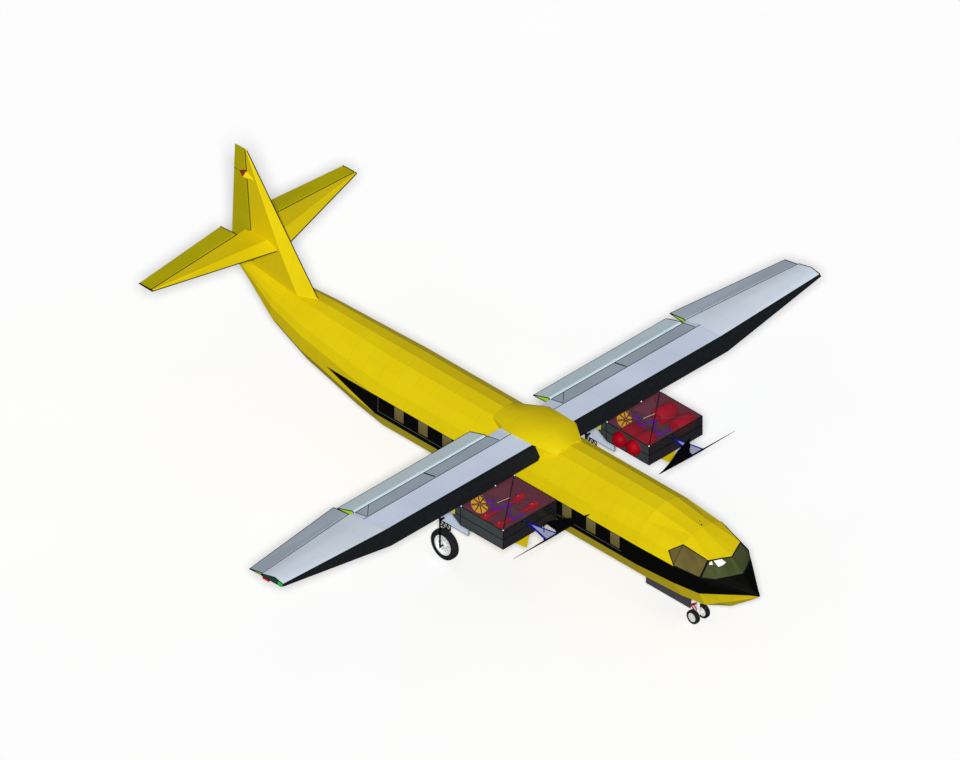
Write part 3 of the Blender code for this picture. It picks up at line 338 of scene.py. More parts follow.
# Two sheets of white film across the top of the windscreen's right-hand pane: a painted highlight on the
# glass
highlight_film = lining_board("white_film_painted_highlight", "#fbfcf4", "#f0f2e6")
FILMS = [
    # corners of each sheet as side, height
    [(-0.416, 2.360), (-0.235, 2.358), (-0.190, 2.285), (-0.382, 2.227)],
    [(-0.525, 2.345), (-0.463, 2.362), (-0.470, 2.290), (-0.545, 2.300)],
]
FILM_STEPS = 8
FILM_LIFT, FILM_THICKNESS = 0.004, 0.002
screen = node_copy("windscreen")
screen_faces = BVHTree.FromBMesh(screen)
films = bmesh.new()
for corners in FILMS:
    top_start, top_end, foot_end, foot_start = (Vector((side, 0, height)) for side, height in corners)
    sheet = bmesh.ops.create_grid(films, x_segments=FILM_STEPS, y_segments=FILM_STEPS, size=0.5)
    for vert in sheet["verts"]:
        start = top_start.lerp(foot_start, 0.5 - vert.co.y)
        end = top_end.lerp(foot_end, 0.5 - vert.co.y)
        spot = start.lerp(end, 0.5 + vert.co.x)
        hit, normal, _, _ = screen_faces.ray_cast(at(spot.x, 0, spot.z), Vector((0, 1, 0)))
        vert.co = hit + normal * FILM_LIFT
screen.free()
bmesh.ops.recalc_face_normals(films, faces=films.faces)
bmesh.ops.solidify(films, geom=list(films.faces), thickness=FILM_THICKNESS)
piece("windscreen_painted_highlight_film", films, [highlight_film])

# Cockpit
# Two moulded seats bolted to a floor rail and a riveted panel of round dials, all in greys behind the smoked
# acrylic.
seat_shell = lining_board("moulded_seat_shell", "#8d8494", "#776f80")
panel_board = lining_board("instrument_panel_board", "#3a3c40", "#2e3034")
dial_glass = lining_board("dial_face", "#d8d4c0", "#c4c0ac")
dress(seat_shell, "pilot_seats")
dress(panel_board, "instrument_panel")
DIAL_SIDES, DIAL_HEIGHTS = (-0.35, -0.21, -0.07, 0.07, 0.21, 0.35), (1.60, 1.76)
DIAL_STATION, DIAL_RADIUS, DIAL_DEPTH = 1.42, 0.05, 0.012
dials = bmesh.new()
for x in DIAL_SIDES:
    for height in DIAL_HEIGHTS:
        centre = at(x, DIAL_STATION, height)
        bar(dials, centre, centre + Vector((0, DIAL_DEPTH, 0)), DIAL_RADIUS, 24)
piece("panel_dials", dials, [dial_glass])

# Cabin
# A barrel of flat aluminium panels with the black window band along each side. The cabin windows are small
# panes set a little into the band, and a polished rain rail is riveted on below them.
FIRST_WINDOW, WINDOW_PITCH, WINDOW_COUNT = 3.77, 0.789, 10
WINDOW_STATIONS = [FIRST_WINDOW + WINDOW_PITCH * number for number in range(WINDOW_COUNT)]
WINDOW_WIDTH = 0.345
WINDOW_FOOT = 1.70
WINDOW_DEPTH = 0.02
WINDOW_RIM, WINDOW_SEAL = 0.012, 0.006
BAND_FOOT, BAND_TOP = 1.567, 2.103


def pane_tint_with_painted_shade(name):
    """Smoked cabin acrylic, darker towards the foot as painted shade for the trim behind it."""
    material, tree, shader, place = new_finish(name, Roughness=0.15, IOR=1.49)
    height = add(tree, "ShaderNodeSeparateXYZ", links={"Vector": place}).outputs["Z"]
    share = add(tree, "ShaderNodeMapRange", {"From Min": WINDOW_FOOT, "From Max": BAND_TOP},
                {"Value": height})
    noise = add(tree, "ShaderNodeTexNoise", {"Scale": 4.0}, {"Vector": place})
    mixed = add(tree, "ShaderNodeMath", {"operation": "MULTIPLY_ADD", 1: 0.35},
                {0: noise.outputs["Fac"], 2: share.outputs[0]})
    ramp = add(tree, "ShaderNodeValToRGB", links={"Fac": mixed.outputs[0]})
    # painted shade: the darker first tone sits at the foot of each pane
    ramp.color_ramp.elements[0].color = linear("#68581a")
    ramp.color_ramp.elements[1].color = linear("#7c7244")
    tree.links.new(ramp.outputs["Color"], shader.inputs["Base Color"])
    return material


cabin_panes = pane_tint_with_painted_shade("smoked_cabin_acrylic_with_painted_shade")
PANE = 2


def split(bm, faces, point, normal):
    """Cuts faces along a plane."""
    edges = {edge for face in faces for edge in face.edges}
    verts = {vert for face in faces for vert in face.verts}
    bmesh.ops.bisect_plane(bm, geom=list(faces) + list(edges) + list(verts), plane_co=point, plane_no=normal)


def on_band(face):
    """True for a face of the cabin's black band."""
    centre = face.calc_center_median()
    return abs(face.normal.x) > SQUARE and BAND_FOOT < centre.z < BAND_TOP


cabin = node_copy("cabin_section")
split(cabin, [f for f in cabin.faces if on_band(f)], (0, 0, WINDOW_FOOT), (0, 0, 1))
for station in WINDOW_STATIONS:
    for reach in (-WINDOW_WIDTH / 2, WINDOW_WIDTH / 2):
        split(cabin, [f for f in cabin.faces if on_band(f)], at(0, station + reach, 0), (0, 1, 0))
openings = []
for face in cabin.faces:
    face.material_index = BLACK if on_band(face) or abs(face.normal.y) > SQUARE else YELLOW
    centre = face.calc_center_median()
    if on_band(face) and centre.z > WINDOW_FOOT:
        if any(abs(centre.y - NOSE_TIP - station) < WINDOW_WIDTH / 4 for station in WINDOW_STATIONS):
            openings.append(face)
for face in openings:
    bmesh.ops.inset_individual(cabin, faces=[face], thickness=WINDOW_RIM, depth=0)
    bmesh.ops.inset_individual(cabin, faces=[face], thickness=WINDOW_SEAL, depth=-WINDOW_DEPTH)
    face.material_index = PANE
piece("cabin_skin", cabin, [yellow_enamel, black_enamel, cabin_panes],
      stands_for=["cabin_section"])


def rolled_metal(name, pale, deep, roughness):
    """Rolled aluminium with a fine drawn grain along the aircraft."""
    material, tree, shader, place = new_finish(name, Metallic=1.0, Roughness=roughness)
    stretch = add(tree, "ShaderNodeMapping", {"Scale": (60.0, 2.0, 60.0)}, {"Vector": place})
    tree.links.new(mottle(tree, stretch.outputs[0], pale, deep, patch=1.0), shader.inputs["Base Color"])
    return material


rail_metal = rolled_metal("polished_rail_aluminium", "#c8ccdc", "#b0b4c8", roughness=0.4)
BAND_SIDE = 1.001
RAIL_END = 11.55
RAIL_HEIGHT, RAIL_TOP = 1.687, 2.095
RAIL_RADIUS = 0.005
RAIL = [(BAND_SIDE, NOSE_END, RAIL_HEIGHT), (BAND_SIDE, RAIL_END, RAIL_HEIGHT),
        (BAND_SIDE, RAIL_END, RAIL_TOP)]
for label, side in SIDES.items():
    beads(f"rain_rail_{label}", along(RAIL, side), RAIL_RADIUS, rail_metal)

# Tail cone
# A shell of flat aluminium panels, riveted to the cabin's last frame, that narrows and sweeps up. The black
# band runs out to a point on its side.
CABIN_REAR = 11.65
BAND_POINT_STATION, BAND_POINT_HEIGHT = 13.416, 1.958
TAIL_BAND_TOP = 2.0985
SIDE_FACING = 0.8           # least share of a side panel's normal across the aircraft
tail = node_copy("tail_cone")
for height in (TAIL_BAND_TOP, BAND_FOOT):
    run = Vector((0, BAND_POINT_STATION - CABIN_REAR, BAND_POINT_HEIGHT - height))
    split(tail, [f for f in tail.faces if abs(f.normal.x) > SIDE_FACING], at(0, CABIN_REAR, height),
          run.cross(Vector((1, 0, 0))))


def on_tail_band(face):
    """True for a face of the tapering end of the black band."""
    centre = face.calc_center_median()
    station = centre.y - NOSE_TIP
    if station > BAND_POINT_STATION or abs(face.normal.x) < SIDE_FACING:
        return False
    share = (station - CABIN_REAR) / (BAND_POINT_STATION - CABIN_REAR)
    low, high = (height + (BAND_POINT_HEIGHT - height) * share for height in (BAND_FOOT, TAIL_BAND_TOP))
    return low < centre.z < high


for face in tail.faces:
    joint = face.calc_center_median().y - NOSE_TIP < CABIN_REAR + JOINT_DEPTH
    face.material_index = BLACK if joint or on_tail_band(face) else YELLOW
piece("tail_skin", tail, [yellow_enamel, black_enamel], stands_for=["tail_cone"])

# Wing
# Aluminium skins riveted to two spars, with rubber de-icing boots glued along the leading edges. The ribs
# that close the ends of flaps, ailerons and flap bay are left in lime primer, and the tip rib in dark green.
WING_RIBS = {"X": 0.61}
wing_enamel = skin_paint("pale_blue_enamel_on_sheet", "#dce8fd", "#d5e0f5", WING_RIBS)
flap_enamel = skin_paint("grey_blue_enamel_on_sheet", "#dcf0fa", "#d4e8f2", WING_RIBS)
spoiler_enamel = skin_paint("slate_enamel_on_sheet", "#b1bfcd", "#a8b5c4", WING_RIBS)
# The outer panel's top is the wing's pale blue made lighter: painted light, for the stronger light it
# catches.
outer_panel_painted_light_enamel = skin_paint("pale_blue_enamel_lightened_as_painted_light", "#e7f2ff", "#e1ecfb", WING_RIBS)
boot_rubber = black_rubber("deicing_boot_neoprene", "#14191e", "#0d1115")
lime_primer = skin_paint("lime_primer_on_rib", "#b6f23a", "#a8e032", WING_RIBS)
tip_primer = skin_paint("dark_green_primer_on_rib", "#24523c", "#1c4432", WING_RIBS)
INNER_END, FLAP_END, AILERON_ROOT, AILERON_END, WING_END = 1.05, 5.40, 5.54, 8.80, 8.83
FIRST_FINISH, RIB_FINISH, TIP_FINISH, OUTER_FINISH = range(4)
END_REACH = 0.03            # how near a surface's end a face or an edge is taken for its rib's
RIB_FACING = 0.95           # least share of a rib's normal across the aircraft


def ribbed_copy(node, name, finish, body, ends):
    """A hinged surface's skin with the ribs at its two ends in primer."""
    bm = node_copy(node)
    for face in bm.faces:
        reach = abs(face.calc_center_median().x)
        rib = abs(face.normal.x) > RIB_FACING and min(abs(reach - end) for end in ends) < END_REACH
        face.material_index = RIB_FINISH if rib else FIRST_FINISH
    piece(name, bm, [finish, lime_primer], body, [node])


def at_end(ends):
    """A test for edges that run round a rib at one of the distances off centre."""
    return lambda middle, run: (abs(run.x) < 0.3 * run.length
                                and min(abs(abs(middle.x) - end) for end in ends) < END_REACH)


fairing = node_copy("wing_fairing")
for face in fairing.faces:
    face.smooth = True
for edge in fairing.edges:
    edge.smooth = len(edge.link_faces) == 2 and edge.calc_face_angle(0) < math.radians(CORNER_ANGLE)
piece("fairing_skin", fairing, [yellow_enamel], stands_for=["wing_fairing"])

# Sealant lines on the wing, as points of side, station and height
CREASE = [(0.69, 7.48, 2.912), (AILERON_ROOT, 7.48, 2.912)]
AILERON_FRONT = [(AILERON_ROOT, 7.975, 2.802), (WING_END, 7.545, 2.971)]
AILERON_EDGE = [(AILERON_ROOT, 8.48, 2.734), (AILERON_END, 7.966, 2.883)]
FLAP_EDGE = [(INNER_END, 8.48, 2.647), (FLAP_END, 8.48, 2.647)]
SPOILER_SPLIT = [(3.14, 7.53, 2.893), (3.14, 7.89, 2.816)]
SPOILER_FRONT, SPOILER_REAR = (7.52, 2.901), (7.905, 2.818)
SPOILER_SEAMS = {"left": (1.465, 1.055), "right": (-4.955, -5.37)}  # side of a skewed seam, rear and front
LINE = 0.012                # radius of the black sealant beads
SPOILER_LINE, THIN_LINE = 0.010, 0.008
SPLIT_SEAL = 0.019
WING_FINISHES = [wing_enamel, lime_primer, tip_primer, outer_panel_painted_light_enamel]
SMOOTH_ANGLE = 30           # degrees below which the outer panel's skin runs on smoothly
for label, side in SIDES.items():
    dress(boot_rubber, f"leading_edge_{label}")
    dress(spoiler_enamel, f"spoiler_{label}")
    wing = node_copy(f"wing_{label}")
    for face in wing.faces:
        reach = abs(face.calc_center_median().x)
        if abs(face.normal.x) > 0.9 and reach > FLAP_END - 0.2:
            face.material_index = TIP_FINISH if reach > AILERON_END - 0.1 else RIB_FINISH
        # the outer panel's top takes the lighter enamel, which is painted light
        elif face.normal.z > 0.5 and reach > AILERON_ROOT:
            face.material_index = OUTER_FINISH
            face.smooth = True
    for edge in wing.edges:
        edge.smooth = edge.calc_face_angle(0) < math.radians(SMOOTH_ANGLE)
    piece(f"wing_skin_{label}", wing, WING_FINISHES, stands_for=[f"wing_{label}"])
    ribbed_copy(f"flap_{label}", f"flap_skin_{label}", flap_enamel, f"flap_{label}", (INNER_END, FLAP_END))
    ribbed_copy(f"aileron_{label}", f"aileron_skin_{label}", spoiler_enamel, f"aileron_{label}",
                (AILERON_ROOT, AILERON_END))

    beads(f"crease_beads_{label}", along(CREASE, side) + along(AILERON_FRONT, side), THIN_LINE)
    beads(f"tip_bead_{label}", sharp_edges(f"wing_{label}", SMOOTH_ANGLE, at_end([WING_END])), LINE)
    ribs = sharp_edges(f"flap_{label}", CORNER_ANGLE, at_end([INNER_END, FLAP_END]))
    beads(f"flap_bead_{label}", along(FLAP_EDGE, side) + ribs, LINE, body=f"flap_{label}")
    ribs = sharp_edges(f"aileron_{label}", CORNER_ANGLE, at_end([AILERON_ROOT, AILERON_END]))
    beads(f"aileron_bead_{label}", along(AILERON_EDGE, side) + ribs, LINE, body=f"aileron_{label}")
    spoiler_lines = along([(INNER_END, *SPOILER_REAR), (FLAP_END, *SPOILER_REAR)], side)
    for x in (INNER_END, FLAP_END):
        spoiler_lines += along([(x, *SPOILER_FRONT), (x, *SPOILER_REAR)], side)
    beads(f"spoiler_bead_{label}", spoiler_lines, SPOILER_LINE, body=f"spoiler_{label}")
    rear, front = SPOILER_SEAMS[label]
    beads(f"spoiler_seam_{label}", along([(rear, *SPOILER_REAR), (front, *SPOILER_FRONT)]), THIN_LINE,
          body=f"spoiler_{label}")
    beads(f"spoiler_split_seal_{label}", along(SPOILER_SPLIT, side), SPLIT_SEAL, body=f"spoiler_{label}")

# Tip lamps and tie-down fittings
# A pressed glass lens is screwed over the position lamp on each tip. Behind it a red cast fitting hangs
# under the tip on two struts.
PRISM = 0.008


def lamp_glass(name, pale, deep):
    """Pressed coloured glass with a fine prism every 8 mm."""
    material, tree, shader, place = new_finish(name, Roughness=0.2, IOR=1.5)
    axes = add(tree, "ShaderNodeSeparateXYZ", links={"Vector": place})
    prisms = add(tree, "ShaderNodeMath", {"operation": "PINGPONG", 1: PRISM / 2}, {0: axes.outputs["Y"]})
    bump = add(tree, "ShaderNodeBump", {"Strength": 0.4, "Distance": 0.002}, {"Height": prisms.outputs[0]})
    tree.links.new(mottle(tree, place, pale, deep, patch=0.05), shader.inputs["Base Color"])
    tree.links.new(bump.outputs[0], shader.inputs["Normal"])
    return material


red_glass = lamp_glass("red_lamp_glass", "#d01418", "#b00c10")
green_glass = lamp_glass("green_lamp_glass", "#22e04a", "#16c83a")
beacon_glass = lamp_glass("beacon_lamp_glass", "#a83818", "#8c2a12")
red_enamel = skin_paint("red_enamel_on_castings", "#d4001e", "#bc001a", {"Y": 0.9}, roughness=0.4, gloss=0.5)
dress(red_glass, "tip_lamp_left")
dress(green_glass, "tip_lamp_right")
TIE_DOWN = [(8.76, 7.36, 2.84), (8.76, 7.56, 2.84)]     # its two ends
TIE_DOWN_RADIUS, TIE_DOWN_ROUNDING = 0.045, 0.015
STRUT_INSET, STRUT_LENGTH, STRUT_RADIUS = 0.15, 0.10, 0.010
for label, side in SIDES.items():
    front, rear = along(TIE_DOWN, side)[0]
    fitting = bmesh.new()
    bar(fitting, front, rear, TIE_DOWN_RADIUS, 20)
    rims = [edge for edge in fitting.edges if edge.calc_face_angle(0) > math.radians(CORNER_ANGLE)]
    bmesh.ops.bevel(fitting, geom=rims, affect="EDGES", offset=TIE_DOWN_ROUNDING, segments=3, profile=0.5,
                    material=-1)
    piece(f"tie_down_{label}", fitting, [red_enamel])
    feet = [point.lerp(rear, STRUT_INSET) for point in (front, rear)]
    beads(f"tie_down_struts_{label}", [(foot, foot + Vector((0, 0, STRUT_LENGTH))) for foot in feet],
          STRUT_RADIUS)

# Tail
# Sheet aluminium fin and tailplane in yellow, with the rudder and elevators hinged behind them in olive and
# black sealant on the edges. The beacon is a faceted bullet of brown-red glass at the fin's rear edge.
olive_enamel = skin_paint("olive_enamel_on_sheet", "#bfb402", "#b6ac02", {"Z": 0.6})
dress(yellow_enamel, "fin", "tailplane_left", "tailplane_right")
dress(olive_enamel, "rudder", "elevator_left", "elevator_right")
dress(beacon_glass, "beacon")
FIN_EDGE = [(0, 14.525, 2.91), (0, 15.18, 3.75), (0, 16.86, 5.95)]
FIN_REAR = [(0.052, 16.606, 2.99), (0.045, 16.680, 3.75), (0.018, 16.904, 5.95)]
RUDDER_REAR = [(0, 17.352, 2.965), (0, 17.242, 5.952)]
RUDDER_TOP = [(0, 16.93, 5.952), (0, 17.242, 5.952)]
RUDDER_FOOT = [(0, 16.63, 2.966), (0, 17.352, 2.966)]
RUDDER_SPLIT = [(0.010, 17.15, 5.278), (0.006, 17.268, 5.278)]
RUDDER_LINE = 0.007
beads("fin_bead", along(FIN_EDGE) + along(FIN_REAR) + along(FIN_REAR, -1), LINE)
rudder_lines = along(RUDDER_REAR) + along(RUDDER_TOP) + along(RUDDER_FOOT)
for side in SIDES.values():
    rudder_lines += along(RUDDER_SPLIT, side)
beads("rudder_bead", rudder_lines, RUDDER_LINE, body="rudder")

TAILPLANE_HEIGHT = 3.75
TAILPLANE_EDGE = [(0.168, 15.698, TAILPLANE_HEIGHT), (3.345, 16.60, TAILPLANE_HEIGHT)]
TAILPLANE_REAR = [(0.40, 16.788, 0.0415), (3.345, 16.665, 0.016)]   # side, station, half thickness
ELEVATOR_ROOT, TAILPLANE_TIP = 0.40, 3.35
TAIL_CORNER_ANGLE = 40
for label, side in SIDES.items():
    lines = along(TAILPLANE_EDGE, side)
    for way in (1, -1):
        rear = [(x, station, TAILPLANE_HEIGHT + way * half) for x, station, half in TAILPLANE_REAR]
        lines += along(rear, side)
    lines += sharp_edges(f"tailplane_{label}", TAIL_CORNER_ANGLE, at_end([TAILPLANE_TIP]))
    beads(f"tailplane_bead_{label}", lines, LINE)
    ribs = sharp_edges(f"elevator_{label}", TAIL_CORNER_ANGLE, at_end([ELEVATOR_ROOT, TAILPLANE_TIP]))
    beads(f"elevator_bead_{label}", ribs, LINE, body=f"elevator_{label}")

# Nacelles
# A flat-sided aluminium tub hangs under each wing, closed by a sheet of smoked maroon acrylic on two crossed
# stays, so the engine shows. White screw caps hold the sheet at three corners and on its rear edge.
charcoal_enamel = skin_paint("charcoal_enamel_on_sheet", "#474d4f", "#3e4446", {"Y": 0.6})
white_enamel = skin_paint("white_enamel_on_castings", "#fdfdfd", "#f6f8f8", {"Y": 0.9},
                          roughness=0.35, gloss=0.5)
smoked_cover = smoked_acrylic("smoked_maroon_acrylic", "#a04858", "#944050", alpha=0.12)
ENGINE_SIDE, TUB_HALF = 2.40, 0.875
NEAR_WALL, FAR_WALL = ENGINE_SIDE - TUB_HALF, ENGINE_SIDE + TUB_HALF
TUB_FRONT, TUB_REAR, COVER_END = 5.157, 6.80, 6.565
TUB_FOOT, TUB_TOP, COVER_TOP = 2.08, 2.605, 2.62
TUB_MIDDLE = (TUB_FOOT + TUB_TOP) / 2
TUB_UNDERSIDE = [(TUB_FRONT, TUB_FOOT), (6.55, TUB_FOOT), (TUB_REAR, 2.24), (TUB_REAR, 2.54)]
TUB_SHEET = 0.02
STAY_RADIUS, CREASE_RADIUS = 0.010, 0.006
STAY_END = COVER_END - 0.02
CAP_RADIUS = 0.017
CAP_STATION = COVER_END - 0.03      # of the caps at the rear corners
EDGE_CAP = (0.27, COVER_END - 0.01)     # distance off the engine's centre and station of the cap on the edge
GUSSET = [(0.003, 2.30), (0.003, 2.54), (0.13, 2.54), (0.09, 2.36)]     # distance out from a wall, height
GUSSET_STATION, GUSSET_SHEET = 6.74, 0.03
INSIDE_FINISH, FRONT_FINISH = 1, 2
maroon_primer = skin_paint("maroon_primer_inside_tub", "#67404f", "#5c3846", {"Y": 0.3})
gusset_primer = skin_paint("yellow_green_primer_on_gussets", "#e0e458", "#d4d84c", {"Y": 0.3})
smoked_front = smoked_acrylic("smoked_black_acrylic", "#1c2428", "#161d21", alpha=0.50)
for label, side in SIDES.items():
    tub = node_copy(f"nacelle_{label}")
    for face in tub.faces:
        centre = face.calc_center_median()
        station = centre.y - NOSE_TIP
        within = abs(abs(centre.x) - ENGINE_SIDE) < TUB_HALF - TUB_SHEET / 2
        if station < TUB_FRONT + TUB_SHEET + WELD and abs(face.normal.y) > SQUARE:
            face.material_index = FRONT_FINISH
        elif within and face.normal.z > -0.5 and centre.z < TUB_TOP - TUB_SHEET / 2:
            face.material_index = INSIDE_FINISH
    piece(f"nacelle_tub_{label}", tub, [charcoal_enamel, maroon_primer, smoked_front],
          stands_for=[f"nacelle_{label}"])
    dress(smoked_cover, f"nacelle_cover_{label}")
    dress(yellow_enamel, f"nacelle_keel_{label}")
    seams = []
    for height in (TUB_TOP, TUB_MIDDLE, TUB_FOOT):
        seams += along([(NEAR_WALL, TUB_FRONT, height), (FAR_WALL, TUB_FRONT, height)], side)
    for x in (NEAR_WALL, FAR_WALL):
        seams += along([(x, TUB_FRONT, TUB_FOOT), (x, TUB_FRONT, TUB_TOP), (x, COVER_END, TUB_TOP)], side)
        seams += along([(x, TUB_FRONT, TUB_MIDDLE), (x, TUB_REAR, TUB_MIDDLE)], side)
        seams += along([(x, *corner) for corner in TUB_UNDERSIDE], side)
        seams += along([(x, COVER_END, TUB_TOP), (x, COVER_END, TUB_FOOT)], side)
    seams += along([(NEAR_WALL, COVER_END, TUB_TOP), (FAR_WALL, COVER_END, TUB_TOP)], side)
    beads(f"nacelle_seams_{label}", seams, STAY_RADIUS)

    # The stays and the caps are the same way round on both engines
    middle = side * ENGINE_SIDE
    right, left = middle - TUB_HALF, middle + TUB_HALF
    stay = along([(right, TUB_FRONT, COVER_TOP), (left, STAY_END, COVER_TOP)])
    beads(f"cover_stay_{label}", stay, STAY_RADIUS)
    crease = along([(left, TUB_FRONT, COVER_TOP), (right, STAY_END, COVER_TOP)])
    beads(f"cover_crease_{label}", crease, CREASE_RADIUS, maroon_primer)
    caps = bmesh.new()
    for x, station in ((right, TUB_FRONT), (right, CAP_STATION), (left, CAP_STATION),
                       (middle + EDGE_CAP[0], EDGE_CAP[1])):
        bmesh.ops.create_uvsphere(caps, u_segments=12, v_segments=8, radius=CAP_RADIUS,
                                  matrix=Matrix.Translation(at(x, station, COVER_TOP)))
    piece(f"cover_screw_caps_{label}", caps, [white_enamel])

    # Yellow-green gussets carry the tub's rear corners from the wing's front spar
    gussets = bmesh.new()
    for wall, way in ((NEAR_WALL, -1), (FAR_WALL, 1)):
        corners = [at(side * (wall + way * out), GUSSET_STATION, height) for out, height in GUSSET]
        face = gussets.faces.new([gussets.verts.new(corner) for corner in corners])
        made = bmesh.ops.extrude_face_region(gussets, geom=[face])["geom"]
        moved = [item for item in made if isinstance(item, bmesh.types.BMVert)]
        bmesh.ops.translate(gussets, verts=moved, vec=(0, GUSSET_SHEET, 0))
    bmesh.ops.recalc_face_normals(gussets, faces=gussets.faces)
    piece(f"tub_gussets_{label}", gussets, [gusset_primer])

# Engines
# Flat fours of cast aluminium with red cooling jackets on the left and bare red barrels on the right. A
# violet chain runs over the crankcase, and a golden bearer plate with black stiffeners leans back behind it.
crankcase_paint = skin_paint("grey_lacquer_on_castings", "#4a4a4c", "#3c3c3e", {"Y": 0.54},
                             roughness=0.5, gloss=0.4)
violet_enamel = skin_paint("violet_enamel_on_rod", "#5c10b8", "#500ca4", {"Y": 0.9})
THRUST_HEIGHT = 2.36
CRANKCASE_HALF = 0.10
BARRELS_END = 6.5
JACKET_STEPS = 32
SPIN_WELD = 0.0005          # metres between corners that are merged on a spun shape
CYLINDERS = {
    # side of the crankcase and station of each cylinder
    "left": [(1, 5.48), (1, 6.08), (-1, 5.63), (-1, 6.08)],
    "right": [(1, 5.63), (1, 6.08), (-1, 5.63), (-1, 6.08)],
}
JACKETS = {
    # side of the crankcase: distance from the thrust line and radius, along a jacket
    1: [(0.30, 0.15), (0.305, 0.19), (0.34, 0.2155), (0.74, 0.2155), (0.79, 0.196), (0.84, 0.1701),
        (0.89, 0.1701), (0.908, 0.145), (0.922, 0.10), (0.9305, 0.0)],
    -1: [(0.34, 0.15), (0.345, 0.19), (0.38, 0.2155), (0.76, 0.2155), (0.84, 0.2001), (0.89, 0.2001),
         (0.94, 0.193), (0.985, 0.176), (1.02, 0.152), (1.052, 0.1205), (1.072, 0.08), (1.0805, 0.0)],
}
# Chain and throttle rod run over each engine, the same way round on both: distance off its centre, station
CHAIN = [(-0.24, 6.35), (-0.15, 6.17), (-0.32, 6.07), (-0.40, 5.92), (0.04, 5.84), (-0.20, 5.68),
         (-0.36, 5.37), (0.0, 5.32)]
THROTTLE = [(-0.14, 6.09), (0.225, 6.025)]
CHAIN_HEIGHT, CHAIN_RADIUS, THROTTLE_RADIUS = 2.573, 0.030, 0.006
PLATE_CENTRE = (-0.21, 6.595, 2.325)    # distance off the engine's centre, station, height
PLATE_RADIUS, PLATE_THICKNESS = 0.23, 0.012
STIFFENER_COUNT, STIFFENER_RADIUS = 8, 0.013
STIFFENER_LIFT = 0.004
STIFFENER_ENDS = (0.02, PLATE_RADIUS - 0.01)    # distances from the plate's middle
PLATE_NORMAL = Vector((0, -1, 1)).normalized()
golden_enamel = skin_paint("golden_enamel_on_plate", "#fcc030", "#f0b428", {"Y": 0.9})
jacket_enamel = skin_paint("deep_red_enamel_on_jackets", "#b8001c", "#9c0016", {"Y": 0.9},
                           roughness=0.55, gloss=0.1)
CASE_FINISH, RED_FINISH = range(2)
for label, side in SIDES.items():
    centre = at(side * ENGINE_SIDE, 0, THRUST_HEIGHT)
    engine = node_copy(f"engine_{label}")
    for face in engine.faces:
        middle = face.calc_center_median() - centre
        barrel = abs(middle.x) > CRANKCASE_HALF + WELD and middle.y < BARRELS_END
        face.material_index = RED_FINISH if barrel else CASE_FINISH
    piece(f"engine_block_{label}", engine, [crankcase_paint, jacket_enamel],
          stands_for=[f"engine_{label}"])
    chain, rod = ([(side * ENGINE_SIDE + off, station, CHAIN_HEIGHT) for off, station in run]
                  for run in (CHAIN, THROTTLE))
    beads(f"control_chain_{label}", along(chain), CHAIN_RADIUS, violet_enamel)
    beads(f"throttle_rod_{label}", along(rod), THROTTLE_RADIUS, white_enamel)

    off, station, height = PLATE_CENTRE
    plate_centre = at(side * ENGINE_SIDE + off, station, height)
    plate = bmesh.new()
    bar(plate, plate_centre - PLATE_NORMAL * PLATE_THICKNESS, plate_centre, PLATE_RADIUS, 40)
    piece(f"bearer_plate_{label}", plate, [golden_enamel])
    front = plate_centre + PLATE_NORMAL * STIFFENER_LIFT
    stiffeners = []
    for number in range(STIFFENER_COUNT):
        spoke = Vector((1, 0, 0))
        spoke.rotate(Matrix.Rotation(math.tau * (number + 0.5) / STIFFENER_COUNT, 3, PLATE_NORMAL))
        stiffeners.append(tuple(front + spoke * end for end in STIFFENER_ENDS))
    beads(f"bearer_stiffeners_{label}", stiffeners, STIFFENER_RADIUS)
    dress(maroon_primer, f"firewall_{label}")

# Jackets of the left engine, spun from sheet with domed ends
jackets = bmesh.new()
for way, station in CYLINDERS["left"]:
    verts = [jackets.verts.new(at(ENGINE_SIDE + way * reach, station, THRUST_HEIGHT + radius))
             for reach, radius in JACKETS[way]]
    edges = [jackets.edges.new(pair) for pair in zip(verts, verts[1:])]
    bmesh.ops.spin(jackets, geom=verts + edges, cent=at(ENGINE_SIDE, station, THRUST_HEIGHT), axis=(1, 0, 0),
                   angle=math.tau, steps=JACKET_STEPS, use_merge=True)
bmesh.ops.remove_doubles(jackets, verts=jackets.verts, dist=SPIN_WELD)
bmesh.ops.recalc_face_normals(jackets, faces=jackets.faces)
for face in jackets.faces:
    face.smooth = True
piece("cooling_jackets_left", jackets, [jacket_enamel])

# Finned heads and spark plug caps on the right engine's bare barrels
FIN_COUNT, FIRST_FIN, FIN_PITCH = 9, 0.48, 0.025
FIN_RADIUS, FIN_THICKNESS = 0.075, 0.008
PLUG_REACH, PLUG_TOP, PLUG_LENGTH, PLUG_RADIUS = 0.54, 2.435, 0.035, 0.010
heads = bmesh.new()
plugs = bmesh.new()
for way, station in CYLINDERS["right"]:
    top = at(-ENGINE_SIDE + way * PLUG_REACH, station, PLUG_TOP)
    bar(plugs, top - Vector((0, 0, PLUG_LENGTH)), top, PLUG_RADIUS, 12)
    for number in range(FIN_COUNT):
        start = at(-ENGINE_SIDE + way * (FIRST_FIN + FIN_PITCH * number), station, THRUST_HEIGHT)
        bar(heads, start, start + Vector((FIN_THICKNESS, 0, 0)), FIN_RADIUS, 20)
piece("barrel_fins_right", heads, [red_enamel])
piece("plug_caps_right", plugs, [white_enamel])

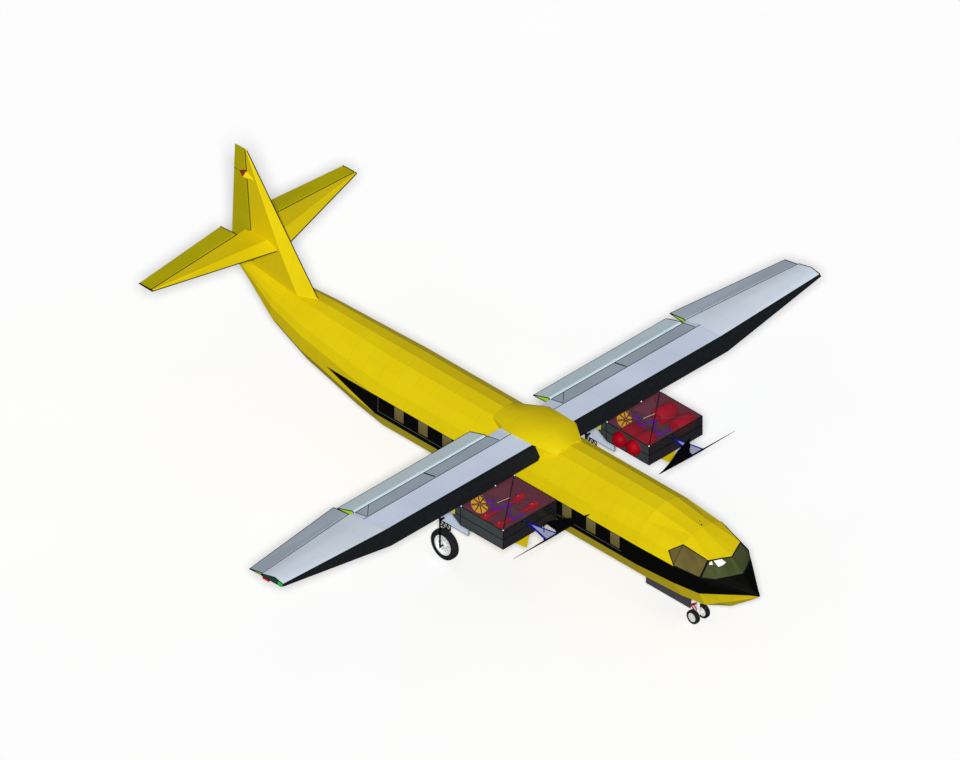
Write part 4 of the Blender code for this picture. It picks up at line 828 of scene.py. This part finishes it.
# Propellers
# Two black wooden blades with pointed heels on a cross bar, carried by a triangular frame of welded blue
# tubes with a pale web between them. A thin counterweight rod crosses the frame.
blue_enamel = skin_paint("blue_enamel_on_tube", "#2018c0", "#1810a4", {"Y": 0.9})
web_sheet = skin_paint("pale_web_sheet", "#b4b8d0", "#a8acc4", {"Y": 0.9})
blade_lacquer = skin_paint("black_lacquer_on_blades", "#040409", "#020206", {"X": 0.3},
                           roughness=0.55, gloss=0.05)
WEB_HALF = 0.0065
ROD_STATION, ROD_RADIUS = 4.69, 0.012
ROD_FOOT, ROD_TOP = THRUST_HEIGHT - 0.28, THRUST_HEIGHT + 0.28
TUBE_FINISH, WEB_FINISH = range(2)
for label, side in SIDES.items():
    dress(blade_lacquer, f"propeller_{label}")
    web = node_copy(f"propeller_frame_{label}")
    for face in web.faces:
        flat = abs(face.normal.z) > SQUARE and abs(face.calc_center_median().z - THRUST_HEIGHT) < WEB_HALF
        face.material_index = WEB_FINISH if flat else TUBE_FINISH
    piece(f"propeller_web_{label}", web, [blue_enamel, web_sheet], f"propeller_{label}",
          [f"propeller_frame_{label}"])
    rod = along([(ENGINE_SIDE, ROD_STATION, ROD_FOOT), (ENGINE_SIDE, ROD_STATION, ROD_TOP)], side)
    beads(f"counterweight_rod_{label}", rod, ROD_RADIUS, body=f"propeller_{label}")

# Main landing gear
# A flat sheet fairing under each engine, a black steel leg with a welded truss, and a wheel of white cast
# magnesium with a moulded tyre and two rings of bolts.
tyre_rubber = black_rubber("tyre_rubber", "#202224", "#141516")
MAIN_STATION, MAIN_RADIUS = 7.95, 0.40
MAIN_RIM, MAIN_TYRE_HALF, MAIN_TYRE_STEPS = 0.265, 0.089, 72
MAIN_BOLTS = [(10, 0.165), (8, 0.105)]      # count and radius of each ring
MAIN_BOLT_REACH, MAIN_BOLT_RADIUS = 0.036, 0.011
TYRE_INSET = 0.001          # keeps the tread just inside the CAD tyre
GROOVE, GROOVE_SLOPE = 0.006, 0.003
FAIRING_LINE, FAIRING_TOP = 0.006, 2.4


def grooved_tyre(hub, radius, rim, half, steps):
    """A tyre spun about its axle, with square shoulders and four grooves round the tread."""
    bm = bmesh.new()
    shoulder = 0.5 * half
    wall = radius - rim
    profile = [(rim, -0.82 * half), (rim + 0.2 * wall, -half), (radius - 0.24 * wall, -half),
               (radius - 0.07 * wall, -0.80 * half)]
    for number in range(-2, 3):
        left, right = (number * shoulder / 2 + way * shoulder / 5 for way in (-1, 1))
        top = radius - 0.015 * wall * abs(number)
        profile += [(top - GROOVE, left - GROOVE_SLOPE), (top, left), (top, right),
                    (top - GROOVE, right + GROOVE_SLOPE)]
    profile += [(r, -x) for r, x in profile[3::-1]]
    verts = [bm.verts.new(hub + Vector((x, 0, r))) for r, x in profile]
    edges = [bm.edges.new(pair) for pair in zip(verts, verts[1:] + verts[:1])]
    bmesh.ops.spin(bm, geom=verts + edges, cent=hub, axis=(1, 0, 0), angle=math.tau, steps=steps,
                   use_merge=True)
    bmesh.ops.remove_doubles(bm, verts=bm.verts, dist=SPIN_WELD)
    bmesh.ops.recalc_face_normals(bm, faces=bm.faces)
    return bm


def wheel_bolts(name, hub, rings, reach, radius, body):
    """Rings of bolts through a wheel, each ring given as its count and radius."""
    ends = []
    for count, ring in rings:
        for number in range(count):
            angle = math.tau * number / count
            spot = hub + Vector((0, ring * math.cos(angle), ring * math.sin(angle)))
            ends.append((spot - Vector((reach, 0, 0)), spot + Vector((reach, 0, 0))))
    beads(name, ends, radius, body=body)


for label, side in SIDES.items():
    dress(wing_enamel, f"gear_fairing_{label}")
    dress(black_enamel, f"main_leg_{label}")
    dress(white_enamel, f"main_rim_{label}")
    rim = sharp_edges(f"gear_fairing_{label}", CORNER_ANGLE, lambda middle, run: middle.z < FAIRING_TOP)
    beads(f"fairing_bead_{label}", rim, FAIRING_LINE)
    hub = at(side * ENGINE_SIDE, MAIN_STATION, MAIN_RADIUS)
    tyre = grooved_tyre(hub, MAIN_RADIUS - TYRE_INSET, MAIN_RIM, MAIN_TYRE_HALF, MAIN_TYRE_STEPS)
    piece(f"main_tyre_tread_{label}", tyre, [tyre_rubber], f"main_wheel_{label}",
          [f"main_tyre_{label}"])
    wheel_bolts(f"rim_bolts_{label}", hub, MAIN_BOLTS, MAIN_BOLT_REACH, MAIN_BOLT_RADIUS,
                f"main_wheel_{label}")

# Nose landing gear
# A white cast leg with red torque links and twin white wheels on one axle, between two slate doors of sheet
# aluminium that hang open.
slate_door = skin_paint("slate_enamel_on_doors", "#4d4d53", "#434349", {"Y": 0.5})
dress(white_enamel, "nose_leg", "nose_fork", "nose_axle")
NOSE_STATION, NOSE_RADIUS = 2.01, 0.18
NOSE_WHEEL_SIDE = 0.165
NOSE_RIM, NOSE_TYRE_HALF, NOSE_TYRE_STEPS = 0.115, 0.059, 56
NOSE_BOLTS = [(6, 0.07)]
NOSE_BOLT_REACH, NOSE_BOLT_RADIUS = 0.054, 0.007
LINK_TOP, LINK_KNEE, LINK_FOOT = (2.05, 0.46), (2.22, 0.34), (2.05, 0.21)   # station and height
LINK_SIDE, LINK_RADIUS = 0.032, 0.016
KNEE_HALF, KNEE_RADIUS = 0.05, 0.022
links = bmesh.new()
for x in (-LINK_SIDE, LINK_SIDE):
    bar(links, at(x, *LINK_TOP), at(x, *LINK_KNEE), LINK_RADIUS, 10)
    bar(links, at(x, *LINK_KNEE), at(x, *LINK_FOOT), LINK_RADIUS, 10)
bar(links, at(-KNEE_HALF, *LINK_KNEE), at(KNEE_HALF, *LINK_KNEE), KNEE_RADIUS, 12)
piece("torque_links", links, [jacket_enamel], "nose_fork")
for label, side in SIDES.items():
    dress(slate_door, f"nose_door_{label}")
    hub = at(side * NOSE_WHEEL_SIDE, NOSE_STATION, NOSE_RADIUS)
    tyre = grooved_tyre(hub, NOSE_RADIUS - TYRE_INSET, NOSE_RIM, NOSE_TYRE_HALF, NOSE_TYRE_STEPS)
    piece(f"nose_tyre_tread_{label}", tyre, [tyre_rubber], "nose_wheels",
          [f"nose_tyre_{label}"])
    wheel_bolts(f"nose_rim_bolts_{label}", hub, NOSE_BOLTS, NOSE_BOLT_REACH, NOSE_BOLT_RADIUS, "nose_wheels")

# Floor, lights and camera
# A pale studio floor that glows a little by itself, and one soft light from the camera's side. The camera
# looks down at the isometric angle, without perspective.
VIEW_TURN = math.radians(-45)
VIEW_LIFT = math.atan(1 / math.sqrt(2))
FRAME_WIDTH = 22.33         # metres across the picture
AIM = at(0, 9.193, 3.249)
CAMERA_DISTANCE, CAMERA_REACH = 60, 500
FLOOR_HALF, FLOOR_GLOW = 150, 0.285
SUN_STRENGTH, SUN_SPREAD = 3.1, math.radians(5)
SKY_STRENGTH = 0.16

floor_finish, floor_tree, floor_shader, floor_place = new_finish(
    "pale_studio_floor", Roughness=0.9, Specular_IOR_Level=0.1, Emission_Strength=FLOOR_GLOW)
floor_tree.links.new(mottle(floor_tree, floor_place, "#fbfbfb", "#f9f9f9", patch=4.0),
                     floor_shader.inputs["Base Color"])
floor_shader.inputs["Emission Color"].default_value = linear("#ffffff")
floor_form = bmesh.new()
bmesh.ops.create_grid(floor_form, x_segments=1, y_segments=1, size=FLOOR_HALF)
floor_mesh = bpy.data.meshes.new("studio_floor")
floor_form.to_mesh(floor_mesh)
floor_form.free()
floor_mesh.materials.append(floor_finish)
floor = bpy.data.objects.new("studio_floor", floor_mesh)
bpy.context.scene.collection.objects.link(floor)
floor.visible_diffuse = False       # keeps the pale floor's bounce off the dark belly
floor.visible_glossy = False

look = Vector((math.sin(-VIEW_TURN) * math.cos(VIEW_LIFT), math.cos(VIEW_TURN) * math.cos(VIEW_LIFT),
               -math.sin(VIEW_LIFT)))
camera_data = bpy.data.cameras.new("camera")
camera_data.type = "ORTHO"
camera_data.ortho_scale = FRAME_WIDTH
camera_data.clip_end = CAMERA_REACH
camera = bpy.data.objects.new("camera", camera_data)
camera.location = AIM - look * CAMERA_DISTANCE
camera.rotation_euler = look.to_track_quat("-Z", "Y").to_euler()
bpy.context.scene.collection.objects.link(camera)
bpy.context.scene.camera = camera

sun_data = bpy.data.lights.new("studio_key", "SUN")
sun_data.energy = SUN_STRENGTH
sun_data.angle = SUN_SPREAD
sun = bpy.data.objects.new("studio_key", sun_data)
sun.rotation_euler = look.to_track_quat("-Z", "Y").to_euler()
bpy.context.scene.collection.objects.link(sun)

world = bpy.data.worlds.new("studio")
world.use_nodes = True
sky = world.node_tree.nodes["Background"]
sky.inputs["Color"].default_value = linear("#ffffff")
sky.inputs["Strength"].default_value = SKY_STRENGTH
bpy.context.scene.world = world
bpy.context.scene.view_settings.view_transform = "Standard"
